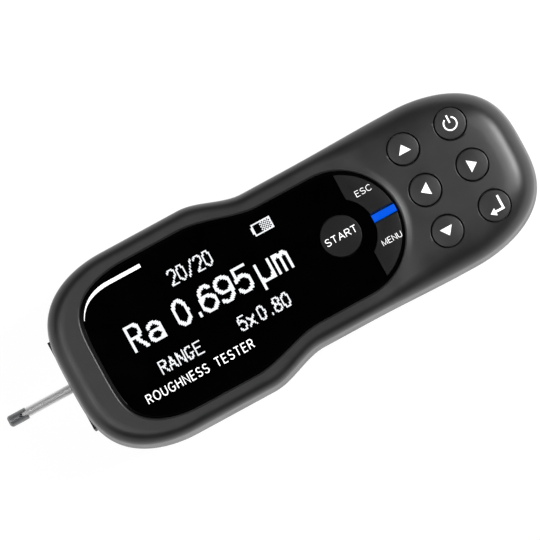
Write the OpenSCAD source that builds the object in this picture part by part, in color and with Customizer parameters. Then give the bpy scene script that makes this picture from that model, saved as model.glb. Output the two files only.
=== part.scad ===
// Handheld surface roughness tester: a waisted two-part housing with a glossy display window,
// nine push keys and a skid pickup that a motor draws along the surface on a lead screw.
// X runs from the pickup to the keys, Z up out of the display. The origin lies on the resting
// plane, in the mouth of the stand thread.

/* [Housing] */
// Length of the housing
body_length = 158; // [154:1:176]
// Width over the display end
display_width = 63; // [62:0.5:70]
// Width at the waist
waist_width = 53.4; // [53:0.2:58]
// Width over the key end
grip_width = 54.6; // [54:0.2:60]
// Height of the window rim over the resting plane
body_height = 46; // [45:0.5:56]
// Height of the parting plane
parting_height = 23; // [23:0.5:26]
// Wall of both shells
wall = 2.4; // [2:0.1:3]
// Gap under the flat bottom of the lower shell
bottom_gap = 0.8; // [0.5:0.1:1.4]
// Lean of each side wall between the parting plane and its rounded edge
draft = 0.6; // [0.2:0.1:0.8]
// Fall of the top from the window rim to the round keys
key_fall = 0.8; // [0:0.1:2]
// Run over which the top falls behind the window
fall_run = 3; // [2:0.1:8]
// Height of the crown of the key deck over its long edges
side_crown = 0.8; // [0:0.1:1.2]
// Height of the crown of the key deck over the start of the rounded tail
tail_crown = 0.7; // [0:0.1:1.2]

/* [Outline] */
// Length of the rounded front end
front_cap = 27.7; // [24:0.1:34]
// Squareness of the front end
front_power = 3.5; // [3:0.1:4.5]
// Length of the rounded tail
tail_cap = 30.8; // [26:0.1:34]
// Squareness of the tail
tail_power = 3; // [2.4:0.1:4]
// Place along X where the display end starts to narrow
shoulder_start = -24.1; // [-30:0.1:-18]
// Place along X where the waist is reached
shoulder_end = -4.4; // [-10:0.1:2]
// Place along X where the grip starts to swell
grip_start = 12.8; // [8:0.1:18]
// Place along X where the grip is widest
grip_end = 43.6; // [38:0.1:47]

/* [Edges] */
// Width of the rounded top edge at the front
front_round = 5; // [4:0.1:6]
// Width of the rounded top edge beside the display
side_round = 3.6; // [2.8:0.1:3.8]
// Width of the rounded top edge beside the keys
grip_round = 6; // [5:0.1:7]
// Width of the rounded top edge at the tail
tail_round = 9; // [7:0.1:12]
// Height of the rounded top edge round the display
side_rise = 5; // [4:0.1:8]
// Height of the rounded top edge beside the keys
grip_rise = 7; // [6:0.1:10]
// Height of the rounded top edge at the tail
tail_rise = 10; // [8:0.1:14]
// Fullness of the rounded top edge, 1 for an ellipse
edge_power = 0.75; // [0.6:0.05:1]
// Radius of the bottom edge
bottom_round = 6; // [4:0.1:7]
// Radius of the bottom edge at the tail
tail_bottom_round = 10; // [6:0.1:12]

/* [Window] */
// Rim between the front end and the window
window_front_rim = 11.2; // [9:0.1:14]
// Rim between the side of the display end and the window
window_side_rim = 5.7; // [5.6:0.1:7]
// Length of the rounded front of the window
window_cap = 21.6; // [18:0.1:26]
// Squareness of the front of the window
window_power = 5; // [3.5:0.1:6]
// Radius of the round end of the window, about the start key
window_end_r = 20.4; // [20:0.1:20.8]
// Width of the rounded lip of the recess
lip_width = 1.2; // [0.8:0.1:1.4]
// Depth of the rounded lip of the recess
lip_depth = 0.8; // [0.4:0.1:0.9]
// Depth of the lens top under the rim
lens_drop = 1; // [0.6:0.1:1.4]
// Thickness of the lens
lens_thickness = 1.2; // [1:0.1:1.6]
// Bevel round the edge of the lens
lens_bevel = 0.8; // [0.4:0.1:0.9]
// Thickness of the ledge that the lens lies on
ledge_thickness = 2.4; // [2.2:0.1:3]

/* [Display] */
// Length of the display panel
panel_length = 60.5; // [58:0.5:62]
// Width of the display panel
panel_width = 34.4; // [32:0.2:35]
// Thickness of the display panel
panel_thickness = 2.15; // [1.8:0.05:2.4]
// Distance of the panel centre behind the front of the window
panel_setback = 39.4; // [38:0.1:41]
// Offset of the panel centre to the side
panel_offset = 1.9; // [0:0.1:2]

/* [Keys] */
// Place of the start key along X
start_x = 16.3; // [15:0.1:18]
// Radius of the start key
start_r = 6.5; // [5.5:0.1:7]
// Inner radius of the crescent of ESC and MENU
crescent_inner = 11.15; // [11:0.05:12]
// Outer radius of the crescent of ESC and MENU
crescent_outer = 18.75; // [18:0.05:18.9]
// Distance of the straight edge of the crescent from the start key
crescent_edge = 6.6; // [6:0.1:8]
// Width of the light bar between ESC and MENU
light_width = 2.7; // [2:0.1:4]
// Radius of a round key
key_r = 4.85; // [4:0.05:5]
// Pitch of the round keys along the grip
key_pitch_x = 16.4; // [16:0.1:18]
// Pitch of the round keys across the grip
key_pitch_y = 14.3; // [13.6:0.1:14.6]
// Distance of the rear key column from the tail
key_tail_gap = 16.9; // [16:0.1:19]
// Height of a round key over the surface round it
key_proud = 0.6; // [0.3:0.1:1]
// Travel of every key
key_travel = 0.6; // [0.3:0.05:0.6]
// Gap round every key
key_gap = 0.4; // [0.25:0.05:0.5]

/* [Drive] */
// Width of the drive frame
frame_width = 30.2; // [29:0.2:32]
// Length of the drive frame
frame_length = 60.25; // [58:0.25:62]
// Thickness of the front plate of the drive frame
front_plate = 3; // [2.6:0.1:4]
// Thickness of the side walls of the drive frame
frame_wall = 2.2; // [1.6:0.1:2.6]
// Thickness of the bearing wall and of the motor wall
bearing_wall = 2.5; // [2:0.1:3]
// Length of the bay between the bearing wall and the motor wall
coupling_bay = 8; // [7.6:0.1:10]
// Width of the slot for the pickup in the front plate
slot_width = 9; // [8:0.2:10]
// Length that the pickup is drawn in
traverse = 17.5; // [10:0.5:17.5]
// Radius of the lead screw
screw_r = 1.5; // [1.2:0.1:1.8]
// Height of the lead screw
screw_z = 15; // [14.6:0.1:16]
// Radius of the guide rods
rod_r = 1.5; // [1.2:0.1:1.8]
// Distance of each guide rod from the middle
rod_y = 8.5; // [8:0.1:9]
// Height of the guide rods
rod_z = 13; // [12.6:0.1:14]
// Length of the carriage
carriage_length = 12; // [10:0.5:12]
// Radius of the motor
motor_r = 5; // [4:0.1:5.6]
// Length of the motor
motor_length = 22; // [18:0.5:24]

/* [Pickup] */
// Reach of the pickup past the front of the housing
pickup_reach = 22; // [20:0.5:26]
// Height of the pickup axis over the measured surface
pickup_z = 5.6; // [5.6:0.1:6.4]
// Radius of the pickup tube
tube_r = 1.5; // [1.4:0.05:1.5]
// Bore radius of the pickup tube
tube_bore_r = 1; // [0.9:0.05:1.1]
// Radius of the pickup body
pickup_r = 3; // [2.8:0.1:3.1]
// Length of the pickup body
pickup_length = 24; // [22:0.5:25]
// Length of the skid head
head_length = 6.4; // [6:0.1:7.5]
// Width of the skid head
head_width = 3.6; // [3.6:0.1:4.4]
// Height of the skid over the resting plane
skid_z = 0.45; // [0.4:0.05:0.6]
// Length of the diamond tip below the skid
tip_below = 0.2; // [0.15:0.05:0.3]

/* [Fittings] */
// Core radius of the stand thread
stand_thread_r = 2.1; // [1.6:0.1:2.6]
// Outer radius of the stand insert
insert_r = 3.5; // [3.2:0.1:4]
// Length of the stand insert
insert_length = 8; // [6:0.5:8.5]
// Radius of a rear foot
foot_r = 4; // [3:0.1:4.5]
// Place of the rear feet along X
foot_x = 34; // [30:0.5:36]
// Distance of each rear foot from the middle
foot_y = 14; // [12:0.5:14]
// Length of the battery
battery_length = 36; // [30:0.5:38]
// Width of the battery
battery_width = 30; // [26:0.5:32]
// Thickness of the battery
battery_thickness = 10.5; // [8:0.5:14]
// Thickness of the circuit boards
board_thickness = 1.6; // [1:0.1:2]

/* [Hidden] */
$fn = 64;

// Fits: fixed pieces, running pieces, and the overlap of a cut past a face
fixed_fit = 0.02;
running_fit = 0.05;
clear_fit = 0.3;
cut = 1;

// Ends and levels of the housing
front_x = -body_length / 2;
tail_x = body_length / 2;
floor_z = bottom_gap + wall;
lens_top = body_height - lens_drop;
ledge_z = lens_top - lens_thickness;
ceiling_z = ledge_z - ledge_thickness;

// Tongue and rebate that register the shells, and the groove that shows at the parting plane
groove = 0.4;
rebate_in = 1.3;
rebate_height = 1.6;
tongue_gap = 0.1;
tongue_in = rebate_in + tongue_gap;
tongue_height = rebate_height - tongue_gap;

// Steps of the lofts
cap_steps = 16;
mid_steps = 24;
edge_steps = 6;
inner_steps = 3;
deck_shares = [0.02, 0.06, 0.11, 0.18, 0.5];
deck_steps = len(deck_shares);
half_steps = 2 * cap_steps + mid_steps;
ring_count = 2 * half_steps;
cap_spread = 1.5;

// Lip round the end of the window, and the stretch over which the top falls behind it
lip_r = window_end_r + lip_width;
crest_half = grip_width / 2 - draft - grip_round;
fall_least = 1.5;
fall_start = 8;
fall_end = 19;

// Level middle of the key deck, outside which its crown falls away
crown_half = 12;
crown_x = tail_x - 31;
crown_run = 21.4;

// An outline holds its two ends, the lengths and powers of its two caps, and its three half widths
body_outline = [front_x, tail_x, front_cap, tail_cap, front_power, tail_power,
    display_width / 2, waist_width / 2, grip_width / 2];
window_outline = [front_x + window_front_rim, start_x + window_end_r, window_cap, window_end_r,
    window_power, 2, display_width / 2 - window_side_rim, window_end_r, window_end_r];

function mix(a, b, t) = a + (b - a) * t;
function smooth(a, b, x) = let (t = min(1, max(0, (x - a) / (b - a)))) t * t * (3 - 2 * t);
function inset(o, d) = [o[0] + d, o[1] - d, o[2] - d, o[3] - d, o[4], o[5], o[6] - d, o[7] - d, o[8] - d];
function half_width(o, x) = o[6] + (o[7] - o[6]) * smooth(shoulder_start, shoulder_end, x)
    + (o[8] - o[7]) * smooth(grip_start, grip_end, x);

function cap_angle(i) = 90 * pow(i / cap_steps, cap_spread);
function front_point(o, a) = let (x = o[0] + o[2] * (1 - cos(a)))
    [x, half_width(o, x) * pow(sin(a), 2 / o[4])];
function tail_point(o, a) = let (x = o[1] - o[3] * (1 - cos(a)))
    [x, half_width(o, x) * pow(sin(a), 2 / o[5])];
function side_point(o, t) = let (x = mix(o[0] + o[2], o[1] - o[3], t)) [x, half_width(o, x)];
function outline_point(o, i) = i < cap_steps ? front_point(o, cap_angle(i))
    : i > cap_steps + mid_steps ? tail_point(o, cap_angle(half_steps - i))
    : side_point(o, (i - cap_steps) / mid_steps);

// Widths and heights of the rounded edges along the housing
function tail_share(x) = smooth(tail_x - tail_cap, tail_x, x);
function grip_share(x) = smooth(grip_start, grip_end, x);
function round_at(x) = mix(mix(mix(front_round, side_round, smooth(front_x, front_x + front_cap, x)),
    grip_round, grip_share(x)), tail_round, tail_share(x));
function rise_at(x) = mix(mix(side_rise, grip_rise, grip_share(x)), tail_rise, tail_share(x));
function bottom_round_at(x) = mix(bottom_round, tail_bottom_round, tail_share(x));
// Behind the window the top falls away in a hollow curve round the lip, which ends level before the edge
function fall_reach(r, y) = min(fall_run, max(fall_least, crest_half * r / max(abs(y), cut) - lip_r));
function crown_at(x, y) = tail_crown * pow(max(0, x - crown_x) / crown_run, 2)
    + side_crown * pow(max(0, abs(y) - crown_half) / (crest_half - crown_half), 2) * grip_share(x);
function top_at(x, y) = let (r = norm([x - start_x, y]), t = min(1, max(0, (r - lip_r) / fall_reach(r, y))))
    body_height - crown_at(x, y)
    - key_fall * (1 - (1 - t) * (1 - t)) * smooth(start_x + fall_start, start_x + fall_end, x);

// A ring runs from the front tip along +Y to the tail and back along -Y
stations = [for (i = [0:half_steps]) outline_point(body_outline, i).x];
function whole(half) = concat(half, [for (i = [half_steps - 1:-1:1]) [half[i].x, -half[i].y, half[i].z]]);
function ring(o, d, z) = whole([for (i = [0:half_steps])
    let (p = outline_point(inset(o, is_list(d) ? d[i] : d), i)) [p.x, p.y, is_list(z) ? z[i] : z]]);
function outline_2d(o) = [for (p = ring(o, 0, 0)) [p.x, p.y]];

// Rings of the top edge, its inside, the bottom edge and its inside, at angle a of the rounding
lip_outline = inset(window_outline, -lip_width);
edge_z = [for (i = [0:half_steps])
    let (p = outline_point(inset(body_outline, draft + round_at(stations[i])), i))
    top_at(p.x, p.y) - rise_at(stations[i])];
function top_edge(a) = ring(body_outline,
    [for (x = stations) draft + round_at(x) * (1 - pow(cos(a), edge_power))],
    [for (i = [0:half_steps]) edge_z[i] + rise_at(stations[i]) * sin(a)]);
function top_inside(a) = ring(body_outline,
    [for (x = stations) wall + draft + (round_at(x) - wall) * (1 - pow(cos(a), edge_power))],
    [for (i = [0:half_steps]) min(ceiling_z, edge_z[i] + (rise_at(stations[i]) - wall) * sin(a))]);
function bottom_edge(a) = ring(body_outline,
    [for (x = stations) draft + bottom_round_at(x) * (1 - cos(a))],
    [for (x = stations) bottom_gap + bottom_round_at(x) * (1 - sin(a))]);
function bottom_inside(a) = ring(body_outline,
    [for (x = stations) wall + draft + (bottom_round_at(x) - wall) * (1 - cos(a))],
    [for (x = stations) floor_z + (bottom_round_at(x) - wall) * (1 - sin(a))]);

// Skin through a list of rings, closed at both ends by strips across the ring
module loft(rings) {
    n = ring_count;
    last = (len(rings) - 1) * n;
    sides = [for (r = [0:len(rings) - 2]) for (j = [0:n - 1])
        let (a = r * n + j, b = r * n + (j + 1) % n)
        each [[a, b, b + n], [a, b + n, a + n]]];
    strips = [for (k = [0:half_steps - 1])
        let (left = (n - k) % n, right = n - k - 1)
        each concat(k + 1 < half_steps ? [[k, k + 1, right]] : [], k > 0 ? [[k, right, left]] : [])];
    first_cap = [for (t = strips) [t[2], t[1], t[0]]];
    last_cap = [for (t = strips) [t[0] + last, t[1] + last, t[2] + last]];
    polyhedron([for (r = rings) each r], concat(sides, first_cap, last_cap), convexity = 8);
}

// Places of the keys
rear_key_x = tail_x - key_tail_gap;
front_key_x = rear_key_x - key_pitch_x;
crescent_switch = [12.75, 9];
round_keys = [[front_key_x, key_pitch_y], [front_key_x, 0], [front_key_x, -key_pitch_y],
    [rear_key_x, key_pitch_y], [rear_key_x, 0], [rear_key_x, -key_pitch_y]];
window_keys = [[start_x, 0], [start_x + crescent_switch.x, crescent_switch.y],
    [start_x + crescent_switch.x, -crescent_switch.y]];

// Flanges that keep the keys in, and the edges of their caps
flange_gap = 0.1;
flange_top = ceiling_z - flange_gap;
flange_thickness = 0.9;
flange_width = 1.05;
flange_bottom = flange_top - flange_thickness;
key_edge = 0.3;
start_proud = 0.5;
crescent_proud = 0.4;
light_proud = 0.3;
crescent_gap = 0.25;
crescent_corner = 0.7;

// Main board, its switches and its bosses
switch_play = 0.25;
switch_top = flange_bottom - key_travel - switch_play;
switch_height = 1.05;
switch_base = 0.6;
switch_side = 5;
plunger_r = 1.5;
board_top = switch_top - switch_height;
board_bottom = board_top - board_thickness;
board_inset = 7;
board_front = 12;
board_boss_r = 1.9;
board_screw_r = 0.85;
board_head_r = 1.6;
board_head = 1;
board_screw_gap = 0.5;
front_boss = [15.5, 12];
waist_boss = [8.3, 18];
board_bosses = [[front_x + front_boss.x, front_boss.y], [front_x + front_boss.x, -front_boss.y],
    [start_x - waist_boss.x, waist_boss.y], [start_x - waist_boss.x, -waist_boss.y],
    [(front_key_x + rear_key_x) / 2, 0]];

// Lens and the display panel under it
lens_gap = 0.15;
panel_x = front_x + window_front_rim + panel_setback;
panel_drop = 0.4;
panel_top = ledge_z - panel_drop;
panel_bottom = panel_top - panel_thickness;
panel_gap = 0.5;
holder_margin = 1.5;
holder_wall = 3;

// Housing screws and their pillars
pillar_r = 3.6;
boss_r = 3.2;
front_pillar = [29, 7];
rear_pillar = [41, 6.8];
front_pillar_y = display_width / 2 - front_pillar.y;
rear_pillar_y = grip_width / 2 - rear_pillar.y;
pillars = [[front_x + front_pillar.x, front_pillar_y], [front_x + front_pillar.x, -front_pillar_y],
    [tail_x - rear_pillar.x, rear_pillar_y], [tail_x - rear_pillar.x, -rear_pillar_y]];
pillar_foot = bottom_gap + wall / 2;
shell_screw_r = 1.05;
shell_head_r = 2.4;
shell_head = 2.4;
shell_head_z = 6;
shell_screw_bite = 9;

// Drive frame and its bays
frame_setback = 0.25;
frame_front_x = front_x + frame_setback;
frame_rear_x = frame_front_x + frame_length;
frame_top_gap = 0.1;
frame_top = parting_height - frame_top_gap;
frame_floor = 1.6;
plate_inner_x = frame_front_x + front_plate;
motor_wall_x = frame_rear_x - bearing_wall;
bearing_rear_x = motor_wall_x - coupling_bay;
bearing_front_x = bearing_rear_x - bearing_wall;
bay_half = frame_width / 2 - frame_wall;
frame_flange = 2;
frame_flange_width = 4.9;
flange_y = frame_width / 2 + frame_flange_width;
frame_flange_in = [17, 3.5];
frame_screw_in = 5;
frame_flange_x = [front_x + frame_flange_in[0], frame_rear_x - frame_flange_in[1]];
frame_screw_x = [frame_flange_x[0] + frame_screw_in, frame_flange_x[1] - frame_screw_in];
frame_screw_y = frame_width / 2 + frame_flange_width / 2;
frame_screw_r = 0.95;
frame_head_r = 1.9;
frame_head = 1.2;
frame_screw_web = 0.7;
frame_screw_gap = 0.1;
frame_bite = wall - frame_screw_web;

// Lead screw, its bushes and the coupling to the motor
rod_seat = 2;
bush_r = 3;
bush_flange_r = 3.8;
bush_flange = 0.8;
bush_seat = 1.5;
motor_boss_r = 3.5;
motor_shaft_r = 1;
gearhead_length = 9;
can_step = 0.4;
motor_rear_x = frame_rear_x + motor_length;
shaft_in_motor = 5;
coupling_r = 3;
coupling_gap = 0.6;
coupling_middle_x = (bearing_rear_x + motor_wall_x) / 2;

// Carriage and pickup, drawn out to the end of the traverse
carriage_play = 0.7;
carriage_wall = 1.4;
carriage_x = bearing_front_x - bush_flange - carriage_play - traverse - carriage_length;
carriage_half = rod_y + rod_r + carriage_wall;
carriage_bottom = rod_z - rod_r - carriage_wall;
carriage_top = screw_z + screw_r + carriage_wall;
clamp_half = pickup_r + carriage_wall;
clamp_bottom = frame_floor + clear_fit;
pickup_front_x = carriage_x + carriage_length - pickup_length;
tip_x = front_x - pickup_reach;
head_rear_x = tip_x + head_length;
head_top = pickup_z + head_width / 2;
tube_seat = 3;
head_seat = 1.6;
head_corner = 0.9;
skid_r = 5;
stylus_back = 3.4;
stylus_x = tip_x + stylus_back;
stylus_hole_r = 0.95;
notch_width = 1.7;
notch_depth = 1.1;

// Stylus arm on its pivot
pivot_back = 8.5;
pivot_x = pickup_front_x + pivot_back;
pivot_r = 0.5;
pivot_hub_r = 1.1;
pivot_hub_half = 1.3;
pivot_bite = 0.6;
chamber = [10, 3.6, 3.4];
arm_r = 0.4;
arm_core_r = 0.9;
arm_core_length = 3.4;
stylus_post_r = 0.5;
tip_length = 1.2;
tip_point_r = 0.02;
tip_z = skid_z - tip_below;

// Stand insert, feet and tail fittings
pad_r = 7;
insert_boss_r = 6;
foot_sunk = 0.8;
battery_gap = 2;
battery_x = insert_boss_r + battery_gap;
charge_z = 12;
charge_length = 18.5;
charge_width = 17;
charge_setback = 4.5;
charge_rear_x = tail_x - charge_setback;
charge_boss_r = 2.5;
charge_boss_in = 14.5;
charge_screw_gap = 2;
charge_boss_x = charge_rear_x - charge_boss_in;
charge_boss_y = 6;
socket_length = 8.6;
socket_width = 7.8;
socket_height = 4;
socket_sheet = 0.4;
socket_tongue = [5, 4.6, 1];
socket_setback = 0.8;
socket_front_x = tail_x - socket_setback;

// Rod along X between two places
module rod_x(x0, x1, r, y, z) {
    translate([x0, y, z])
        rotate([0, 90, 0])
            cylinder(h = x1 - x0, r = r);
}

// Ring sector of the ESC and MENU keys, grown on every side but the middle
module crescent_2d(grow) {
    translate([start_x, 0])
        intersection() {
            difference() {
                circle(r = crescent_outer + grow);
                circle(r = crescent_inner - grow);
            }
            translate([crescent_edge - grow, -2 * crescent_outer])
                square(4 * crescent_outer);
        }
}

// One side of the crescent, clear of the light bar, with rounded corners
module crescent_key_2d(side, grow) {
    near = light_width / 2 + crescent_gap - min(grow, 0);
    offset(r = crescent_corner, $fn = 48)
        offset(delta = -crescent_corner)
            intersection() {
                crescent_2d(grow);
                translate([0, side > 0 ? near : -near - 2 * crescent_outer])
                    square([4 * crescent_outer, 2 * crescent_outer]);
            }
}

// Push key of round section: a flange below and a rounded edge at the top
module turned_key(x, y, r, top) {
    rim = [for (a = [0:15:90]) [r - key_edge + key_edge * cos(a), top - key_edge + key_edge * sin(a)]];
    translate([x, y, 0])
        rotate_extrude()
            polygon(concat([[0, flange_bottom], [r + flange_width, flange_bottom],
                [r + flange_width, flange_top], [r, flange_top]], rim, [[0, top]]));
}

module round_key(i) {
    turned_key(round_keys[i].x, round_keys[i].y, key_r, body_height - key_fall + key_proud);
}

// ESC or MENU key with a stepped top edge
module crescent_key(side) {
    top = lens_top + crescent_proud;
    translate([0, 0, flange_bottom])
        linear_extrude(flange_thickness)
            crescent_key_2d(side, flange_width);
    translate([0, 0, flange_bottom])
        linear_extrude(top - key_edge / 2 - flange_bottom)
            crescent_key_2d(side, 0);
    translate([0, 0, flange_bottom])
        linear_extrude(top - flange_bottom)
            crescent_key_2d(side, -key_edge / 2);
}

// Screw with its head at z, pointing along dir (1 up, -1 down)
module screw(x, y, z, head_r, head, shank_r, length, dir) {
    translate([x, y, z])
        rotate([dir > 0 ? 0 : 180, 0, 0]) {
            translate([0, 0, -head])
                cylinder(h = head, r = head_r);
            cylinder(h = length, r = shank_r);
        }
}

module lower_shell() {
    angles = [for (k = [edge_steps:-1:0]) 90 * k / edge_steps];
    inner_angles = [for (k = [0:inner_steps]) 90 * k / inner_steps];
    rings = concat(
        [for (a = angles) bottom_edge(a)],
        [ring(body_outline, 0, parting_height - groove),
            ring(body_outline, groove, parting_height),
            ring(body_outline, tongue_in, parting_height),
            ring(body_outline, tongue_in, parting_height + tongue_height),
            ring(body_outline, wall, parting_height + tongue_height)],
        [for (a = inner_angles) bottom_inside(a)]);
    color("dimgray")
        difference() {
            union() {
                loft(rings);
                for (p = pillars)
                    translate([p.x, p.y, pillar_foot])
                        cylinder(h = parting_height - pillar_foot, r = pillar_r);
                cylinder(h = bottom_gap + cut, r = pad_r);
                translate([0, 0, pillar_foot])
                    cylinder(h = insert_length + wall / 2 - pillar_foot, r = insert_boss_r);
                for (side = [-1, 1])
                    translate([charge_boss_x, side * charge_boss_y, pillar_foot])
                        cylinder(h = charge_z - pillar_foot, r = charge_boss_r);
            }
            translate([front_x - cut, -frame_width / 2 - clear_fit, -cut])
                cube([frame_rear_x + clear_fit - front_x + cut, frame_width + 2 * clear_fit,
                    parting_height + rebate_height + 2 * cut]);
            for (p = pillars)
                translate([p.x, p.y, 0]) {
                    cylinder(h = shell_head_z, r = shell_head_r + clear_fit);
                    cylinder(h = parting_height + cut, r = shell_screw_r + clear_fit);
                }
            translate([0, 0, -cut])
                cylinder(h = insert_length + cut + fixed_fit, r = insert_r + fixed_fit);
            for (side = [-1, 1]) {
                translate([foot_x, side * foot_y, 0])
                    cylinder(h = bottom_gap + foot_sunk, r = foot_r + running_fit);
                translate([charge_boss_x, side * charge_boss_y, floor_z + cut])
                    cylinder(h = charge_z, r = board_screw_r + fixed_fit);
                for (x = frame_screw_x)
                    translate([x, side * frame_screw_y, floor_z - frame_bite])
                        cylinder(h = frame_bite + cut, r = frame_screw_r + fixed_fit);
            }
            translate([tail_x - wall - draft - cut, -socket_width / 2 - clear_fit,
                charge_z + board_thickness - clear_fit])
                cube([wall + draft + 2 * cut, socket_width + 2 * clear_fit, socket_height + 2 * clear_fit]);
        }
}

module upper_shell() {
    angles = [for (k = [0:edge_steps]) 90 * k / edge_steps];
    inner_angles = [for (k = [inner_steps:-1:0]) 90 * k / inner_steps];
    crest = top_edge(90);
    lip = ring(lip_outline, 0, body_height);
    deck = [for (k = [deck_steps:-1:1]) [for (j = [0:ring_count - 1])
        let (behind = smooth(shoulder_end, start_x + window_end_r, lip[j].x),
            t = mix(k / (deck_steps + 1), deck_shares[k - 1], behind),
            p = mix(lip[j], crest[j], t))
        [p.x, p.y, top_at(p.x, p.y)]]];
    rings = concat(
        [for (a = inner_angles) top_inside(a)],
        [ring(body_outline, wall, parting_height + rebate_height),
            ring(body_outline, rebate_in, parting_height + rebate_height),
            ring(body_outline, rebate_in, parting_height),
            ring(body_outline, groove, parting_height),
            ring(body_outline, 0, parting_height + groove)],
        [for (a = angles) top_edge(a)],
        deck,
        [for (a = [0:30:90])
            ring(window_outline, -lip_width * (1 - sin(a)), body_height - lip_depth * (1 - cos(a)))],
        [ring(window_outline, 0, ledge_z)]);
    color("dimgray")
        difference() {
            union() {
                loft(rings);
                for (p = pillars)
                    translate([p.x, p.y, parting_height + fixed_fit])
                        cylinder(h = ceiling_z + wall / 4 - parting_height, r = boss_r);
                for (p = board_bosses)
                    translate([p.x, p.y, board_top])
                        cylinder(h = ceiling_z + wall / 4 - board_top, r = board_boss_r);
            }
            for (p = pillars)
                translate([p.x, p.y, parting_height - cut])
                    cylinder(h = shell_screw_bite + 2 * cut, r = shell_screw_r + fixed_fit);
            for (p = board_bosses)
                translate([p.x, p.y, board_top - cut])
                    cylinder(h = ceiling_z - board_top + cut, r = board_screw_r + fixed_fit);
            for (p = round_keys) {
                translate([p.x, p.y, ceiling_z - cut])
                    cylinder(h = body_height, r = key_r + key_gap);
                translate([p.x, p.y, board_top])
                    cylinder(h = ceiling_z - board_top, r = key_r + flange_width + clear_fit);
            }
            translate([start_x, 0, ceiling_z - cut])
                cylinder(h = body_height, r = start_r + key_gap);
            translate([0, 0, ceiling_z - cut])
                linear_extrude(ledge_thickness + 2 * cut)
                    crescent_2d(crescent_gap);
            translate([panel_x - panel_length / 2 - panel_gap,
                panel_offset - panel_width / 2 - panel_gap, ceiling_z - cut])
                cube([panel_length + 2 * panel_gap, panel_width + 2 * panel_gap, ledge_thickness + 2 * cut]);
        }
}

module display_window() {
    color("black")
        difference() {
            loft([ring(window_outline, lens_gap, ledge_z),
                ring(window_outline, lens_gap, lens_top - lens_bevel / 2),
                ring(window_outline, lens_gap + lens_bevel, lens_top)]);
            translate([start_x, 0, ledge_z - cut])
                cylinder(h = lens_thickness + 2 * cut, r = start_r + crescent_gap);
            translate([0, 0, ledge_z - cut])
                linear_extrude(lens_thickness + 2 * cut)
                    crescent_2d(crescent_gap);
        }
}

module drive_frame() {
    color("black")
        difference() {
            union() {
                translate([frame_front_x, -frame_width / 2, 0])
                    cube([frame_length, frame_width, frame_top]);
                translate([frame_flange_x[0], -flange_y, floor_z])
                    cube([frame_flange_x[1] - frame_flange_x[0], 2 * flange_y, frame_flange]);
            }
            for (bay = [[plate_inner_x, bearing_front_x], [bearing_rear_x, motor_wall_x]])
                translate([bay[0], -bay_half, frame_floor])
                    cube([bay[1] - bay[0], 2 * bay_half, frame_top]);
            rod_x(frame_front_x - cut, plate_inner_x + cut, slot_width / 2, 0, pickup_z);
            translate([frame_front_x - cut, -slot_width / 2, -cut])
                cube([front_plate + 2 * cut, slot_width, pickup_z + cut]);
            for (side = [-1, 1]) {
                rod_x(plate_inner_x - rod_seat, bearing_rear_x + cut, rod_r + fixed_fit, side * rod_y, rod_z);
                for (x = frame_screw_x)
                    translate([x, side * frame_screw_y, floor_z - cut])
                        cylinder(h = frame_flange + 2 * cut, r = frame_screw_r + running_fit);
            }
            rod_x(plate_inner_x - bush_seat, plate_inner_x + cut, bush_r + fixed_fit, 0, screw_z);
            rod_x(bearing_front_x - cut, bearing_rear_x + cut, bush_r + fixed_fit, 0, screw_z);
            rod_x(motor_wall_x - cut, frame_rear_x + cut, motor_boss_r + fixed_fit, 0, screw_z);
        }
}

module shell_screws() {
    color("silver")
        for (p = pillars)
            screw(p.x, p.y, shell_head_z, shell_head_r, shell_head, shell_screw_r,
                parting_height + shell_screw_bite - shell_head_z, 1);
}

module frame_screws() {
    color("silver")
        for (side = [-1, 1])
            for (x = frame_screw_x)
                screw(x, side * frame_screw_y, floor_z + frame_flange, frame_head_r, frame_head,
                    frame_screw_r, frame_flange + frame_bite - frame_screw_gap, -1);
}

module board_screws() {
    color("silver") {
        for (p = board_bosses)
            screw(p.x, p.y, board_bottom, board_head_r, board_head, board_screw_r,
                board_thickness + ceiling_z - board_top - board_screw_gap, 1);
        for (side = [-1, 1])
            screw(charge_boss_x, side * charge_boss_y, charge_z + board_thickness, board_head_r, board_head,
                board_screw_r, board_thickness + charge_z - floor_z - charge_screw_gap, -1);
    }
}

module stand_insert() {
    color("gold")
        difference() {
            cylinder(h = insert_length, r = insert_r);
            translate([0, 0, -cut])
                cylinder(h = insert_length + 2 * cut, r = stand_thread_r);
        }
}

module rear_feet() {
    color("black")
        for (side = [-1, 1])
            translate([foot_x, side * foot_y, 0])
                cylinder(h = bottom_gap + foot_sunk, r = foot_r);
}

module main_board() {
    color("darkgreen")
        translate([0, 0, board_bottom])
            linear_extrude(board_thickness)
                difference() {
                    intersection() {
                        polygon(outline_2d(inset(body_outline, board_inset)));
                        translate([front_x + board_front, -display_width / 2])
                            square([body_length, display_width]);
                    }
                    for (p = pillars)
                        translate([p.x, p.y])
                            circle(r = boss_r + clear_fit);
                    for (p = board_bosses)
                        translate([p.x, p.y])
                            circle(r = board_screw_r + running_fit);
                }
}

module display_holder() {
    size = [panel_length - 2 * holder_margin, panel_width - 2 * holder_margin];
    color("white")
        translate([panel_x, panel_offset, board_top])
            linear_extrude(panel_bottom - board_top)
                difference() {
                    square(size, center = true);
                    square(size - [2 * holder_wall, 2 * holder_wall], center = true);
                }
}

module oled_panel() {
    color("midnightblue")
        translate([panel_x - panel_length / 2, panel_offset - panel_width / 2, panel_bottom])
            cube([panel_length, panel_width, panel_thickness]);
}

module key_switches() {
    color("silver")
        for (p = concat(round_keys, window_keys))
            translate([p.x, p.y, board_top]) {
                translate([-switch_side / 2, -switch_side / 2, 0])
                    cube([switch_side, switch_side, switch_base]);
                cylinder(h = switch_height, r = plunger_r);
            }
}

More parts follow.
